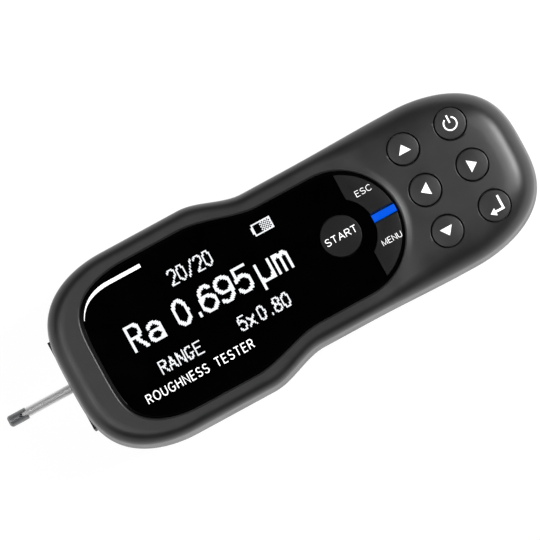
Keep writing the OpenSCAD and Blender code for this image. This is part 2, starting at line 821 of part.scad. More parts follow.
module status_light() {
    color("blue")
        translate([0, 0, board_top])
            linear_extrude(lens_top + light_proud - board_top)
                intersection() {
                    crescent_2d(crescent_gap / 2);
                    translate([start_x, -light_width / 2])
                        square([2 * crescent_outer, light_width]);
                }
}

module battery() {
    color("royalblue")
        translate([battery_x, -battery_width / 2, floor_z])
            cube([battery_length, battery_width, battery_thickness]);
}

module charge_board() {
    color("darkgreen")
        difference() {
            translate([charge_rear_x - charge_length, -charge_width / 2, charge_z])
                cube([charge_length, charge_width, board_thickness]);
            for (side = [-1, 1])
                translate([charge_boss_x, side * charge_boss_y, charge_z - cut])
                    cylinder(h = board_thickness + 2 * cut, r = board_screw_r + running_fit);
        }
}

module usb_socket() {
    color("silver")
        translate([socket_front_x - socket_length, -socket_width / 2, charge_z + board_thickness]) {
            difference() {
                cube([socket_length, socket_width, socket_height]);
                translate([socket_sheet, socket_sheet, socket_sheet])
                    cube([socket_length, socket_width - 2 * socket_sheet, socket_height - 2 * socket_sheet]);
            }
            translate([0, (socket_width - socket_tongue.y) / 2, (socket_height - socket_tongue.z) / 2])
                cube(socket_tongue);
        }
}

module motor() {
    color("silver")
        difference() {
            union() {
                rod_x(frame_rear_x, frame_rear_x + gearhead_length, motor_r, 0, screw_z);
                rod_x(frame_rear_x + gearhead_length, motor_rear_x, motor_r - can_step, 0, screw_z);
                rod_x(motor_rear_x, motor_rear_x + can_step, motor_shaft_r + can_step, 0, screw_z);
                rod_x(motor_wall_x, frame_rear_x + cut, motor_boss_r, 0, screw_z);
            }
            rod_x(motor_wall_x - cut, frame_rear_x + shaft_in_motor, motor_shaft_r + running_fit, 0, screw_z);
        }
}

module screw_bushes() {
    seats = [[plate_inner_x - bush_seat, plate_inner_x, plate_inner_x, plate_inner_x + bush_flange],
        [bearing_front_x, bearing_rear_x, bearing_front_x - bush_flange, bearing_front_x]];
    color("peru")
        for (s = seats)
            difference() {
                union() {
                    rod_x(s[0], s[1], bush_r, 0, screw_z);
                    rod_x(s[2], s[3], bush_flange_r, 0, screw_z);
                }
                rod_x(min(s) - cut, max(s) + cut, screw_r + running_fit, 0, screw_z);
            }
}

module guide_rods() {
    color("silver")
        for (side = [-1, 1])
            rod_x(plate_inner_x - rod_seat, bearing_rear_x, rod_r, side * rod_y, rod_z);
}

module motor_shaft() {
    color("silver")
        rod_x(coupling_middle_x, frame_rear_x + shaft_in_motor - running_fit, motor_shaft_r, 0, screw_z);
}

module shaft_coupling() {
    color("goldenrod")
        difference() {
            rod_x(bearing_rear_x + coupling_gap, motor_wall_x - coupling_gap, coupling_r, 0, screw_z);
            rod_x(bearing_rear_x, coupling_middle_x, screw_r + fixed_fit, 0, screw_z);
            rod_x(bearing_rear_x, motor_wall_x, motor_shaft_r + fixed_fit, 0, screw_z);
        }
}

module lead_screw() {
    color("lightgray")
        rod_x(plate_inner_x - bush_seat + clear_fit, coupling_middle_x, screw_r, 0, screw_z);
}

module carriage() {
    color("gray")
        difference() {
            union() {
                translate([carriage_x, -carriage_half, carriage_bottom])
                    cube([carriage_length, 2 * carriage_half, carriage_top - carriage_bottom]);
                translate([carriage_x, -clamp_half, clamp_bottom])
                    cube([carriage_length, 2 * clamp_half, carriage_top - clamp_bottom]);
            }
            for (side = [-1, 1])
                rod_x(carriage_x - cut, carriage_x + carriage_length + cut, rod_r + running_fit,
                    side * rod_y, rod_z);
            rod_x(carriage_x - cut, carriage_x + carriage_length + cut, screw_r + running_fit, 0, screw_z);
            rod_x(carriage_x - cut, carriage_x + carriage_length + cut, pickup_r + fixed_fit, 0, pickup_z);
        }
}

module pickup_body() {
    color("silver")
        difference() {
            rod_x(pickup_front_x, pickup_front_x + pickup_length, pickup_r, 0, pickup_z);
            rod_x(pickup_front_x - cut, pickup_front_x + tube_seat + cut, tube_r + fixed_fit, 0, pickup_z);
            translate([pickup_front_x + tube_seat, -chamber.y / 2, pickup_z - chamber.z / 2])
                cube(chamber);
            translate([pivot_x, 0, pickup_z])
                rotate([90, 0, 0])
                    cylinder(h = 2 * pickup_r + cut, r = pivot_r + fixed_fit, center = true);
        }
}

module pickup_tube() {
    color("lightgray")
        difference() {
            rod_x(head_rear_x - head_seat, pickup_front_x + tube_seat, tube_r, 0, pickup_z);
            rod_x(head_rear_x - head_seat - cut, pickup_front_x + tube_seat + cut, tube_bore_r, 0, pickup_z);
        }
}

// Skid nose: a sleeve on the tube with a foot below it, rounded at the front and curved up at both ends
module guide_head() {
    sleeve_r = head_width / 2;
    flank = sleeve_r - head_corner;
    color("darkgray")
        difference() {
            intersection() {
                translate([tip_x, 0, 0])
                    rotate([90, 0, 90])
                        linear_extrude(head_length) {
                            translate([0, pickup_z])
                                circle(r = sleeve_r);
                            translate([-sleeve_r, skid_z])
                                square([head_width, pickup_z - skid_z]);
                        }
                linear_extrude(head_top) {
                    translate([tip_x + head_corner, -sleeve_r])
                        square([head_length - head_corner, head_width]);
                    translate([tip_x, -flank])
                        square([head_length, 2 * flank]);
                    for (side = [-1, 1])
                        translate([tip_x + head_corner, side * flank])
                            circle(r = head_corner);
                }
                union() {
                    translate([stylus_x, 0, skid_z + skid_r])
                        rotate([90, 0, 0])
                            cylinder(h = 2 * head_width, r = skid_r, center = true);
                    translate([tip_x, -head_width, skid_z + skid_r])
                        cube([head_length, 2 * head_width, head_top]);
                }
            }
            rod_x(head_rear_x - head_seat, head_rear_x + cut, tube_r + fixed_fit, 0, pickup_z);
            rod_x(stylus_x, head_rear_x, tube_bore_r, 0, pickup_z);
            translate([stylus_x, 0, 0])
                cylinder(h = head_top + cut, r = stylus_hole_r);
            translate([stylus_x, -notch_width / 2, head_top - notch_depth])
                cube([head_length, notch_width, notch_depth + cut]);
        }
}

module stylus_pivot() {
    color("silver")
        translate([pivot_x, 0, pickup_z])
            rotate([90, 0, 0])
                cylinder(h = chamber.y + 2 * pivot_bite, r = pivot_r, center = true);
}

module stylus_arm() {
    color("darkgray")
        difference() {
            union() {
                rod_x(stylus_x, pivot_x, arm_r, 0, pickup_z);
                rod_x(pivot_x, pivot_x + arm_core_length, arm_core_r, 0, pickup_z);
                translate([pivot_x, 0, pickup_z])
                    rotate([90, 0, 0])
                        cylinder(h = 2 * pivot_hub_half, r = pivot_hub_r, center = true);
                translate([stylus_x, 0, tip_z + tip_length])
                    cylinder(h = pickup_z + arm_r - tip_z - tip_length, r = stylus_post_r);
            }
            translate([pivot_x, 0, pickup_z])
                rotate([90, 0, 0])
                    cylinder(h = chamber.y, r = pivot_r + running_fit, center = true);
        }
}

module stylus_tip() {
    color("white")
        translate([stylus_x, 0, tip_z])
            cylinder(h = tip_length, r1 = tip_point_r, r2 = stylus_post_r);
}

module start_key() {
    color([0.15, 0.15, 0.15])
        turned_key(start_x, 0, start_r, lens_top + start_proud);
}

module esc_key() {
    color([0.17, 0.17, 0.17])
        crescent_key(1);
}

module menu_key() {
    color([0.17, 0.17, 0.17])
        crescent_key(-1);
}

module up_key() {
    color([0.25, 0.25, 0.25])
        round_key(0);
}

module left_key() {
    color([0.25, 0.25, 0.25])
        round_key(1);
}

module down_key() {
    color([0.25, 0.25, 0.25])
        round_key(2);
}

module power_key() {
    color([0.25, 0.25, 0.25])
        round_key(3);
}

module right_key() {
    color([0.25, 0.25, 0.25])
        round_key(4);
}

module enter_key() {
    color([0.25, 0.25, 0.25])
        round_key(5);
}

lower_shell();
upper_shell();
display_window();
drive_frame();
shell_screws();
frame_screws();
board_screws();
stand_insert();
rear_feet();
main_board();
display_holder();
oled_panel();
key_switches();
status_light();
battery();
charge_board();
usb_socket();
motor();
screw_bushes();
guide_rods();
motor_shaft();
shaft_coupling();
lead_screw();
carriage();
pickup_body();
pickup_tube();
guide_head();
stylus_pivot();
stylus_arm();
stylus_tip();
start_key();
esc_key();
menu_key();
up_key();
left_key();
down_key();
power_key();
right_key();
enter_key();
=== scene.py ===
import math

import bmesh
import bpy
from mathutils import Matrix, Vector


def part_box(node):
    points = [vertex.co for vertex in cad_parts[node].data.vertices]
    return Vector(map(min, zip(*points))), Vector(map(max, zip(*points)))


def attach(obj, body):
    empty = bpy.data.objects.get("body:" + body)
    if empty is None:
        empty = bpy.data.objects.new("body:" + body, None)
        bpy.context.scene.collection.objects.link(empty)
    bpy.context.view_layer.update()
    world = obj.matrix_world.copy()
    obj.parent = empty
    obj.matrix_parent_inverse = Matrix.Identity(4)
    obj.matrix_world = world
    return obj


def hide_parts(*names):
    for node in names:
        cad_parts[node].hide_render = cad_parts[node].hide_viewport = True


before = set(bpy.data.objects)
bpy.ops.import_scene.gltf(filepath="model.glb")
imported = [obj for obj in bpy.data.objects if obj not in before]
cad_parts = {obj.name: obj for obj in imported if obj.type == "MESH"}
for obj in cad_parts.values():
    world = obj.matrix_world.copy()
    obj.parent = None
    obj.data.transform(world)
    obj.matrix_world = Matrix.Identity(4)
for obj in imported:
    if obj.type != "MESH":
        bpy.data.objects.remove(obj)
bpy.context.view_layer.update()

# Lower half of the housing: an injection-moulded tub in dark satin plastic, screwed to the upper half
# from below through four pillars. Its tongue registers both halves along the parting line, and its
# front is open for the black frame of the drive.
MM = 0.001
CAP_STEPS = 40
SIDE_STEPS = 80
HALF_STEPS = 2 * CAP_STEPS + SIDE_STEPS
CAP_BUNCHING = 1.5
EDGE_STEPS = 12
wall = 2.4
draft = 0.6
groove = 0.4
tongue_in = 1.4
tongue_height = 1.5
bottom_gap = 0.8
bottom_rounds = (6, 10)


def box_mm(node):
    return [Vector(corner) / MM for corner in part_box(node)]


shell_low, shell_high = box_mm("upper_shell")
front_x, tail_x = shell_low.x, shell_high.x
parting_z, rim_z = shell_low.z, shell_high.z
# An outline has its two ends, the length and the squareness of the cap at each, its half widths at the
# front, the waist and the tail, and the stretch over which it narrows. It swells again over the grip.
body = {
    "ends": (front_x, tail_x),
    "caps": (27.7, 30.8),
    "powers": (3.5, 3.0),
    "halves": (31.5, 26.7, 27.3),
    "shoulder": (-24.1, -4.4),
}
grip = (12.8, 43.6)


def mix(a, b, t):
    return a + (b - a) * t


def smooth(a, b, x):
    t = min(1, max(0, (x - a) / (b - a)))
    return t * t * (3 - 2 * t)


def inset(outline, d):
    """The outline moved in by d on every side."""
    front, tail = outline["ends"]
    return {
        "ends": (front + d, tail - d),
        "caps": tuple(c - d for c in outline["caps"]),
        "powers": outline["powers"],
        "halves": tuple(h - d for h in outline["halves"]),
        "shoulder": outline["shoulder"],
    }


def half_width(outline, x):
    wide, waist, swell = outline["halves"]
    return wide + (waist - wide) * smooth(*outline["shoulder"], x) + (swell - waist) * smooth(*grip, x)


def outline_point(outline, i):
    """Point i of the half outline: a squared-off front, a waisted side and a round tail."""
    (front, tail), caps = outline["ends"], outline["caps"]
    at_front = i < CAP_STEPS
    if CAP_STEPS <= i <= CAP_STEPS + SIDE_STEPS:
        x = mix(front + caps[0], tail - caps[1], (i - CAP_STEPS) / SIDE_STEPS)
        return Vector((x, half_width(outline, x), 0))
    step = i if at_front else HALF_STEPS - i
    angle = math.pi / 2 * (step / CAP_STEPS) ** CAP_BUNCHING
    depth = caps[0 if at_front else 1] * (1 - math.cos(angle))
    x = front + depth if at_front else tail - depth
    power = outline["powers"][0 if at_front else 1]
    return Vector((x, half_width(outline, x) * math.sin(angle) ** (2 / power), 0))


stations = [outline_point(body, i).x for i in range(HALF_STEPS + 1)]


def whole(half):
    """The half ring along +Y and its mirror image back along -Y."""
    return half + [Vector((p.x, -p.y, p.z)) for p in half[-2:0:-1]]


def ring(outline, d, z):
    """Ring at an inset and a height, each either one value or one value per station."""
    points = []
    for i in range(HALF_STEPS + 1):
        p = outline_point(inset(outline, d[i] if isinstance(d, list) else d), i)
        p.z = z[i] if isinstance(z, list) else z
        points.append(p)
    return whole(points)


def tail_share(x):
    return smooth(tail_x - body["caps"][1], tail_x, x)


def bottom_ring(angle, thickness):
    """Ring of the rounded bottom edge, or of its inside at the wall's thickness."""
    radii = [mix(*bottom_rounds, tail_share(x)) - thickness for x in stations]
    return ring(
        body,
        [thickness + draft + r * (1 - math.cos(angle)) for r in radii],
        [bottom_gap + thickness + r * (1 - math.sin(angle)) for r in radii],
    )


def quarter(steps=EDGE_STEPS):
    return [math.pi / 2 * k / steps for k in range(steps + 1)]


def make(name, bm, material, slot, body_name, *nodes, sharp=30):
    """Turns a bmesh in millimetres into a finished piece that rides on a body and stands for CAD nodes."""
    bmesh.ops.scale(bm, vec=(MM, MM, MM), verts=bm.verts)
    bmesh.ops.recalc_face_normals(bm, faces=bm.faces)
    mesh = bpy.data.meshes.new(name)
    bm.to_mesh(mesh)
    bm.free()
    mesh.shade_smooth()
    mesh.set_sharp_from_angle(angle=math.radians(sharp))
    piece = bpy.data.objects.new(name, mesh)
    bpy.context.collection.objects.link(piece)
    mesh.materials.append(material)
    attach(piece, body_name)
    if nodes:
        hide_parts(*nodes)
    return piece


def loft(rings):
    """Skin through the rings, closed by a flat face at both ends."""
    bm = bmesh.new()
    loops = [[bm.verts.new(p) for p in points] for points in rings]
    count = len(loops[0])
    for near, far in zip(loops, loops[1:]):
        for j in range(count):
            bm.faces.new((near[j], near[j - 1], far[j - 1], far[j]))
    bm.faces.new(loops[0])
    bm.faces.new(loops[-1])
    bmesh.ops.recalc_face_normals(bm, faces=bm.faces)
    return bm


def block(bm, low, high):
    centre = (Vector(low) + Vector(high)) / 2
    size = Vector(high) - Vector(low)
    made = bmesh.ops.create_cube(bm, size=1, matrix=Matrix.Translation(centre) @ Matrix.Diagonal((*size, 1)))
    return made["verts"]


def drum(bm, x, y, z0, z1, r, segments=96):
    """Upright cylinder between two heights."""
    bmesh.ops.create_cone(
        bm,
        cap_ends=True,
        segments=segments,
        radius1=r,
        radius2=r,
        depth=z1 - z0,
        matrix=Matrix.Translation((x, y, (z0 + z1) / 2)),
    )


SLIVER = 1e-3


def boolean(bm, tool, operation):
    """bm joined with the tool or cut by it, both in millimetres."""
    pair = []
    for part in (bm, tool):
        mesh = bpy.data.meshes.new("pair")
        part.to_mesh(mesh)
        part.free()
        pair.append(bpy.data.objects.new("pair", mesh))
        bpy.context.collection.objects.link(pair[-1])
    modifier = pair[0].modifiers.new("cut", "BOOLEAN")
    modifier.object = pair[1]
    modifier.operation = operation
    modifier.solver = "EXACT"
    done = bmesh.new()
    done.from_object(pair[0], bpy.context.evaluated_depsgraph_get())
    bmesh.ops.dissolve_degenerate(done, edges=done.edges, dist=SLIVER)
    for part in pair:
        bpy.data.meshes.remove(part.data)
    return done


def linear(code):
    """Linear colour of an sRGB hex code."""
    parts = [int(code[k:k + 2], 16) / 255 for k in (0, 2, 4)]
    return tuple(c / 12.92 if c <= 0.04045 else ((c + 0.055) / 1.055) ** 2.4 for c in parts) + (1.0,)


def add(tree, kind, inputs=None, **settings):
    """Adds a shader node. An input is a value, or a (node, output) pair to link."""
    made = tree.nodes.new("ShaderNode" + kind)
    for name, value in settings.items():
        setattr(made, name, value)
    for name, value in (inputs or {}).items():
        if isinstance(value, tuple) and isinstance(value[0], bpy.types.Node):
            tree.links.new(value[0].outputs[value[1]], made.inputs[name])
        else:
            made.inputs[name].default_value = value
    return made


NOISE_DETAIL = 2.0
NOISE_LOW, NOISE_HIGH = 0.3, 0.7


def finish(
    name, shades, roughness, grain, depth, drift=9.0, spread=0.05, along=(1, 1, 1), edge=0.0, **inputs
):
    """Material whose colour and gloss drift between two shades, with a grain in its relief.

    Grain, its depth, drift and the softened edge are in millimetres. The grain is drawn out where along
    is below 1.
    """
    material = bpy.data.materials.new(name)
    material.use_nodes = True
    tree = material.node_tree
    shader = tree.nodes["Principled BSDF"]
    for key, value in inputs.items():
        shader.inputs[key.replace("_", " ")].default_value = value
    place = add(tree, "TexCoord")
    lay = add(tree, "Mapping", {"Vector": (place, "Object"), "Scale": along})
    fine, slow = [
        add(tree, "TexNoise", {"Vector": (lay, "Vector"), "Scale": 1 / (size * MM), "Detail": NOISE_DETAIL})
        for size in (grain, drift)
    ]
    ramp = add(tree, "ValToRGB", {"Fac": (slow, "Fac")})
    for stop, at, shade in zip(ramp.color_ramp.elements, (NOISE_LOW, NOISE_HIGH), shades):
        stop.position, stop.color = at, linear(shade)
    span = {"From Min": NOISE_LOW, "From Max": NOISE_HIGH}
    span.update({"To Min": roughness - spread, "To Max": roughness + spread})
    gloss = add(tree, "MapRange", {"Value": (slow, "Fac"), **span})
    normal = {"Normal": (add(tree, "Bevel", {"Radius": edge * MM}, samples=6), "Normal")} if edge else {}
    bump = add(tree, "Bump", {"Height": (fine, "Fac"), "Strength": 1.0, "Distance": depth * MM, **normal})
    tree.links.new(ramp.outputs["Color"], shader.inputs["Base Color"])
    tree.links.new(gloss.outputs["Result"], shader.inputs["Roughness"])
    tree.links.new(bump.outputs["Normal"], shader.inputs["Normal"])
    return material


# Moulded ABS with a fine spark-eroded grain: a dark satin that takes broad soft lights.
satin_plastic = finish("satin_dark_abs", ("1e1e1e", "212121"), 0.37, grain=0.3, depth=0.008, spread=0.03)

lower_rings = [bottom_ring(a, 0) for a in reversed(quarter())]
lower_rings += [
    ring(body, 0, parting_z - groove),
    ring(body, groove, parting_z),
    ring(body, tongue_in, parting_z),
    ring(body, tongue_in, parting_z + tongue_height),
    ring(body, wall, parting_z + tongue_height),
]
lower_rings += [bottom_ring(a, wall) for a in quarter()]
frame_high = box_mm("drive_frame")[1]
plate_half = 15.1
clearance = 0.3
insert_high = box_mm("stand_insert")[1]
insert_r = insert_high.x
press_fit = 0.02
glue_fit = 0.05
screw_low, screw_high = box_mm("shell_screws")
head_r, head_height = 2.4, 2.4
pillars = [(-50, 24.5), (-50, -24.5), (38, 20.5), (38, -20.5)]
pillar_r, pillar_foot, pillar_shy = 3.6, 2, 0.1
boss_r, boss_foot = 6, 1.5
pad_r, pad_height, pad_edge = 7, 1.8, 0.4
foot_low, foot_high = box_mm("rear_feet")
foot_r = (foot_high.x - foot_low.x) / 2
feet = [((foot_low.x + foot_high.x) / 2, y) for y in (foot_high.y - foot_r, foot_low.y + foot_r)]
socket_low, socket_high = box_mm("usb_socket")
# Cutters start below the bottom, reach past the ends and go up through the parting line.
cut_below, cut_past, cut_through = -1, 2, 30


def round_edges(bm, edges, offset, segments, **settings):
    """Rounds edges of a bmesh, by about the offset as a radius."""
    bmesh.ops.bevel(bm, geom=edges, offset=offset, offset_type="OFFSET", affect="EDGES", segments=segments,
                    profile=0.5, material=-1, **settings)


posts = bmesh.new()
for x, y in pillars:
    drum(posts, x, y, pillar_foot, parting_z - pillar_shy, pillar_r)
drum(posts, 0, 0, boss_foot, insert_high.z + wall / 2, boss_r)
lower = boolean(loft(lower_rings), posts, "UNION")
pad = bmesh.new()
drum(pad, 0, 0, 0, pad_height, pad_r)
round_edges(pad, [e for e in pad.edges if all(v.co.z < pad_edge for v in e.verts)], pad_edge, 3)
lower = boolean(lower, pad, "UNION")
holes = bmesh.new()
block(
    holes,
    (front_x - cut_past, -plate_half - clearance, cut_below),
    (frame_high.x + clearance, plate_half + clearance, cut_through),
)
for x, y in pillars:
    drum(holes, x, y, cut_below, screw_low.z + head_height, head_r + clearance)
drum(holes, 0, 0, cut_below, insert_high.z, insert_r + press_fit)
for x, y in feet:
    drum(holes, x, y, cut_below, foot_high.z, foot_r + glue_fit)
block(
    holes,
    (socket_low.x, socket_low.y - clearance, socket_low.z - clearance),
    (tail_x + cut_past, socket_high.y + clearance, socket_high.z + clearance),
)
lower = boolean(lower, holes, "DIFFERENCE")
make("lower_shell_moulding", lower, satin_plastic, "housing_plastic", "housing", "lower_shell")

# Stand insert: a turned brass nut, pressed into a boss in the middle of the bottom. Its outside is
# knurled so that it doesn't turn, and its thread takes a stand.
SAME_POINT = 1e-4


def turned(bm, centre, axis, profile, segments=96):
    """Solid of revolution of a profile of (radius, height) pairs, a closed ring if it stays off the axis."""
    axis = Vector(axis)
    across = Vector((1, 0, 0)) if axis.z else Vector((0, 0, 1))
    first = [bm.verts.new(Vector(centre) + across * r + axis * h) for r, h in profile]
    pairs = list(zip(first, first[1:]))
    if profile[0][0] > 0:
        pairs.append((first[-1], first[0]))
    lines = [bm.edges.new(pair) for pair in pairs]
    bmesh.ops.spin(bm, geom=first + lines, cent=centre, axis=axis, angle=math.tau, steps=segments,
                   use_merge=True)
    bmesh.ops.remove_doubles(bm, verts=bm.verts, dist=SAME_POINT)
    bmesh.ops.recalc_face_normals(bm, faces=bm.faces)


UP, ALONG = (0, 0, 1), (1, 0, 0)
thread_r = 2.1
thread_pitch = 0.8
thread_depth = 0.3
chamfer = 0.3
groove_r = insert_r - 0.35
KNURLS = 60
knurl_depth = 0.15
thread = []
for k in range(int(insert_high.z / thread_pitch)):
    z = (k + 0.5) * thread_pitch
    thread += [(thread_r, z - thread_depth), (thread_r + thread_depth, z)]
top_z = insert_high.z
rim = [(thread_r + chamfer, top_z), (insert_r - chamfer, top_z), (insert_r, top_z - chamfer)]
bands = [(insert_r, 6.6), (groove_r, 6.4), (groove_r, 5.2), (insert_r, 5.0), (insert_r, 2.0), (groove_r, 1.8)]
nut = bmesh.new()
turned(nut, (0, 0, 0), UP, [(thread_r + chamfer, 0)] + thread + rim + bands + [(groove_r, 0)], 2 * KNURLS)
for v in nut.verts:
    around = round(math.atan2(v.co.y, v.co.x) / math.pi * KNURLS)
    if v.co.xy.length > insert_r - press_fit and around % 2:
        v.co.xy *= 1 - knurl_depth / insert_r
# Turned brass: bright, with fine rings left by the tool.
brass = finish(
    "turned_brass", ("a8803a", "b98f45"), 0.28, grain=0.15, depth=0.004, along=(0.2, 0.2, 1), Metallic=1.0
)
make("stand_nut", nut, brass, "brass", "housing", "stand_insert")

# Rear feet: two round pads of soft black rubber, moulded with a slightly hollow sole and glued into
# shallow seats of the bottom.
pads = bmesh.new()
for x, y in feet:
    sole = [(0, 0.12), (foot_r * 0.5, 0.1), (foot_r * 0.75, 0), (foot_r - 0.45, 0.02), (foot_r - 0.15, 0.14)]
    turned(pads, (x, y, 0), UP, sole + [(foot_r, 0.5), (foot_r, foot_high.z), (0, foot_high.z)])
# Moulded rubber: matt, with a dusty bloom.
rubber = finish("black_rubber", ("141414", "1e1e1e"), 0.82, grain=0.4, depth=0.02, drift=3)
make("rear_foot_pads", pads, rubber, "rubber", "housing", "rear_feet")

# Drive frame: a black glass-filled moulding with the front plate, the flanges and the two bearing walls.
# Four small screws hold it to the floor of the tub.
def dress(material, *nodes):
    """Gives a finish to CAD nodes whose shape stays."""
    for node in nodes:
        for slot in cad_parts[node].material_slots:
            slot.material = material


# Glass-filled nylon: matt black with a coarse grain, its edges just broken.
filled_nylon = finish("black_filled_nylon", ("101010", "161616"), 0.6, grain=0.5, depth=0.02, edge=0.25)
dress(filled_nylon, "drive_frame")
# Zinc-plated steel: pale, a little blue, and softly blotched.
plated_steel = finish(
    "zinc_plated_steel", ("9a9ea4", "b4b7ba"), 0.32, grain=0.2, depth=0.004, drift=2, edge=0.12, Metallic=1.0
)
dress(plated_steel, "frame_screws")

# Guide rods and lead screw: two ground rods pressed into the frame, and a lead screw with a rolled
# two-start thread between sintered bronze bushes.
# Ground steel: bright, with fine marks round the rod.
ground_steel = finish(
    "ground_steel", ("b3b5b8", "c6c8ca"), 0.24, grain=0.1, depth=0.003, along=(1, 0.1, 0.1), edge=0.1,
    Metallic=1.0,
)
# Sintered bronze: dull brown metal with open pores.
bronze = finish(
    "sintered_bronze", ("7d5a34", "946e44"), 0.5, grain=0.12, depth=0.02, drift=0.6, edge=0.12, Metallic=1.0
)
dress(ground_steel, "guide_rods")
dress(bronze, "screw_bushes")
lead_low, lead_high = box_mm("lead_screw")
lead_r = (lead_high.z - lead_low.z) / 2
lead_z = (lead_high.z + lead_low.z) / 2
lead_turn = 2.0
lead_starts = 2
lead_depth = 0.32
lead_flank = 0.7
journals = (4.0, 6.5)
ROUND = 32
row_step = 0.1
rows = round((lead_high.x - lead_low.x) / row_step)
spindle = []
for k in range(rows + 1):
    x = mix(lead_low.x, lead_high.x, k / rows)
    runs_in = smooth(0, 1, x - lead_low.x - journals[0])
    runs_out = smooth(0, 1, lead_high.x - journals[1] - x)
    cut = lead_depth * runs_in * runs_out
    points = []
    for j in range(ROUND):
        a = math.tau * j / ROUND
        wave = math.cos(lead_starts * (math.tau * x / lead_turn - a))
        r = lead_r - cut * smooth(-lead_flank, lead_flank, wave)
        points.append(Vector((x, r * math.cos(a), lead_z + r * math.sin(a))))
    spindle.append(points)
make("lead_screw_spindle", loft(spindle), ground_steel, "ground_steel", "screw", "lead_screw", sharp=50)

# Motor: a small geared motor with a plated can, on the rear wall of the frame. Its shaft turns the lead
# screw through a turned coupling.
# Nickel-plated can: smooth and bright, with marks from drawing along it.
nickel_can = finish(
    "nickel_plated_can", ("a3a5a6", "b6b7b7"), 0.3, grain=0.3, depth=0.003, along=(0.05, 1, 1), edge=0.3,
    Metallic=1.0,
)
dress(nickel_can, "motor")
dress(ground_steel, "motor_shaft")
dress(bronze, "shaft_coupling")

# Carriage and pickup: a milled aluminium slide on both rods, with a clamp that holds the ground barrel
# of the pickup.
# Milled aluminium: pale satin with fine cutter marks along X.
milled = finish(
    "milled_aluminium", ("a9abad", "bcbec0"), 0.38, grain=0.25, depth=0.005, along=(0.08, 1, 1), edge=0.2,
    Metallic=1.0,
)
dress(milled, "carriage")
dress(ground_steel, "pickup_body")

# Pickup tube: a drawn nickel-silver tube that carries the nose and goes through the slot of the front
# plate. Both ends are broken, and it is glued into the barrel.
tube_low, tube_high = box_mm("pickup_tube")
tube_r = (tube_high.z - tube_low.z) / 2
tube_z = (tube_high.z + tube_low.z) / 2
bore_r = 1.0
broken = 0.12
x0, x1 = tube_low.x, tube_high.x
near_end = [(bore_r, x0), (tube_r - broken, x0), (tube_r, x0 + broken)]
far_end = [(tube_r, x1 - broken), (tube_r - broken, x1), (bore_r, x1)]
tube = bmesh.new()
turned(tube, (0, 0, tube_z), ALONG, near_end + far_end)
# Drawn tube: a pale satin with streaks along its length, as the die leaves them.
drawn_tube = finish(
    "drawn_nickel_silver", ("ececec", "f8f8f8"), 0.6, grain=0.35, depth=0.001, drift=0.5, along=(0.02, 1, 1),
    Metallic=1.0,
)
make("pickup_tube_drawn", tube, drawn_tube, "ground_steel", "pickup", "pickup_tube")

# Nose of the pickup: a hardened skid, glued on the tube, with a drop-shaped notch at its rear. Inside it
# the arm of the stylus turns on a cross pin, and a diamond tip reaches just below the skid.
def arc(r, z, radius, start, end, steps=6):
    """Points of an arc about (r, z), angles in degrees."""
    angles = [math.radians(mix(start, end, k / steps)) for k in range(steps + 1)]
    return [(r + radius * math.cos(a), z + radius * math.sin(a)) for a in angles]


head_low, head_high = box_mm("guide_head")
skid_half = head_high.y
rear = head_high.x
corner_r = 0.9
shy = 0.03
skid_r = 5.0
stylus_x = head_low.x + 3.4
stylus_hole_r = 0.9
bore_end = stylus_x - 0.6
sleeve_taper = 0.1
notch_floor, notch_top = 0.3, 3
KEEL_ROWS = 8
KEEL_STEPS = 24
keel = []
for k in range(-KEEL_ROWS, KEEL_ROWS + 1):
    y = (skid_half - shy) * math.sin(math.pi / (2 * KEEL_ROWS) * k)
    over = max(0, abs(y) + shy - skid_half + corner_r)
    nose_x = head_low.x + shy + corner_r - math.sqrt(corner_r ** 2 - over ** 2)
    xs = [mix(nose_x, rear - shy, j / KEEL_STEPS) for j in range(KEEL_STEPS + 1)]
    under = [(x, y, head_low.z + skid_r - math.sqrt(skid_r ** 2 - (x - stylus_x) ** 2)) for x in xs]
    keel.append(under + [(rear - shy, y, tube_z), (nose_x, y, tube_z)])
sleeve = bmesh.new()
front_round = [(r, -h) for r, h in arc(skid_half - corner_r, -head_low.x - corner_r, corner_r, 90, 0, 8)]
rear_end = [(skid_half - sleeve_taper, rear), (0, rear)]
turned(sleeve, (0, 0, tube_z), ALONG, [(0, head_low.x)] + front_round + rear_end)
skid = boolean(loft(keel), sleeve, "UNION")
hole = bmesh.new()
drum(hole, stylus_x, 0, 0, tube_z, stylus_hole_r)
skid = boolean(skid, hole, "DIFFERENCE")
drop = [(-2.6, 0), (-2.3, 0.4), (-1.9, 0.5), (-1.4, 0.55), (0, 1.25), (1, 1.7)]
drop = [(rear + x, y) for x, y in drop] + [(rear + x, -y) for x, y in drop[:0:-1]]
notch = loft([[(x, y, tube_z + h) for x, y in drop] for h in (notch_floor, notch_top)])
skid = boolean(skid, notch, "DIFFERENCE")
seat = bmesh.new()
within = [(0, bore_end), (bore_r, bore_end), (bore_r, x0), (tube_r, x0), (tube_r, 0), (0, 0)]
turned(seat, (0, 0, tube_z), ALONG, within)
skid = boolean(skid, seat, "DIFFERENCE")
# Hardened steel: greyer than the tube, lapped to a soft sheen.
skid_steel = finish(
    "hardened_skid_steel", ("8c8d8f", "a0a1a2"), 0.6, grain=0.15, depth=0.001, drift=1.0, edge=0.15,
    Metallic=1.0,
)
make("skid_sleeve", skid, skid_steel, "skid_steel", "pickup", "guide_head")
dress(skid_steel, "stylus_arm")
dress(ground_steel, "stylus_pivot")
# Cut diamond: clear, pale and very bright.
diamond = finish(
    "cut_diamond", ("dfe6ea", "f2f6f8"), 0.05, grain=0.05, depth=0.001, drift=0.2, spread=0.02, IOR=2.42
)
dress(diamond, "stylus_tip")

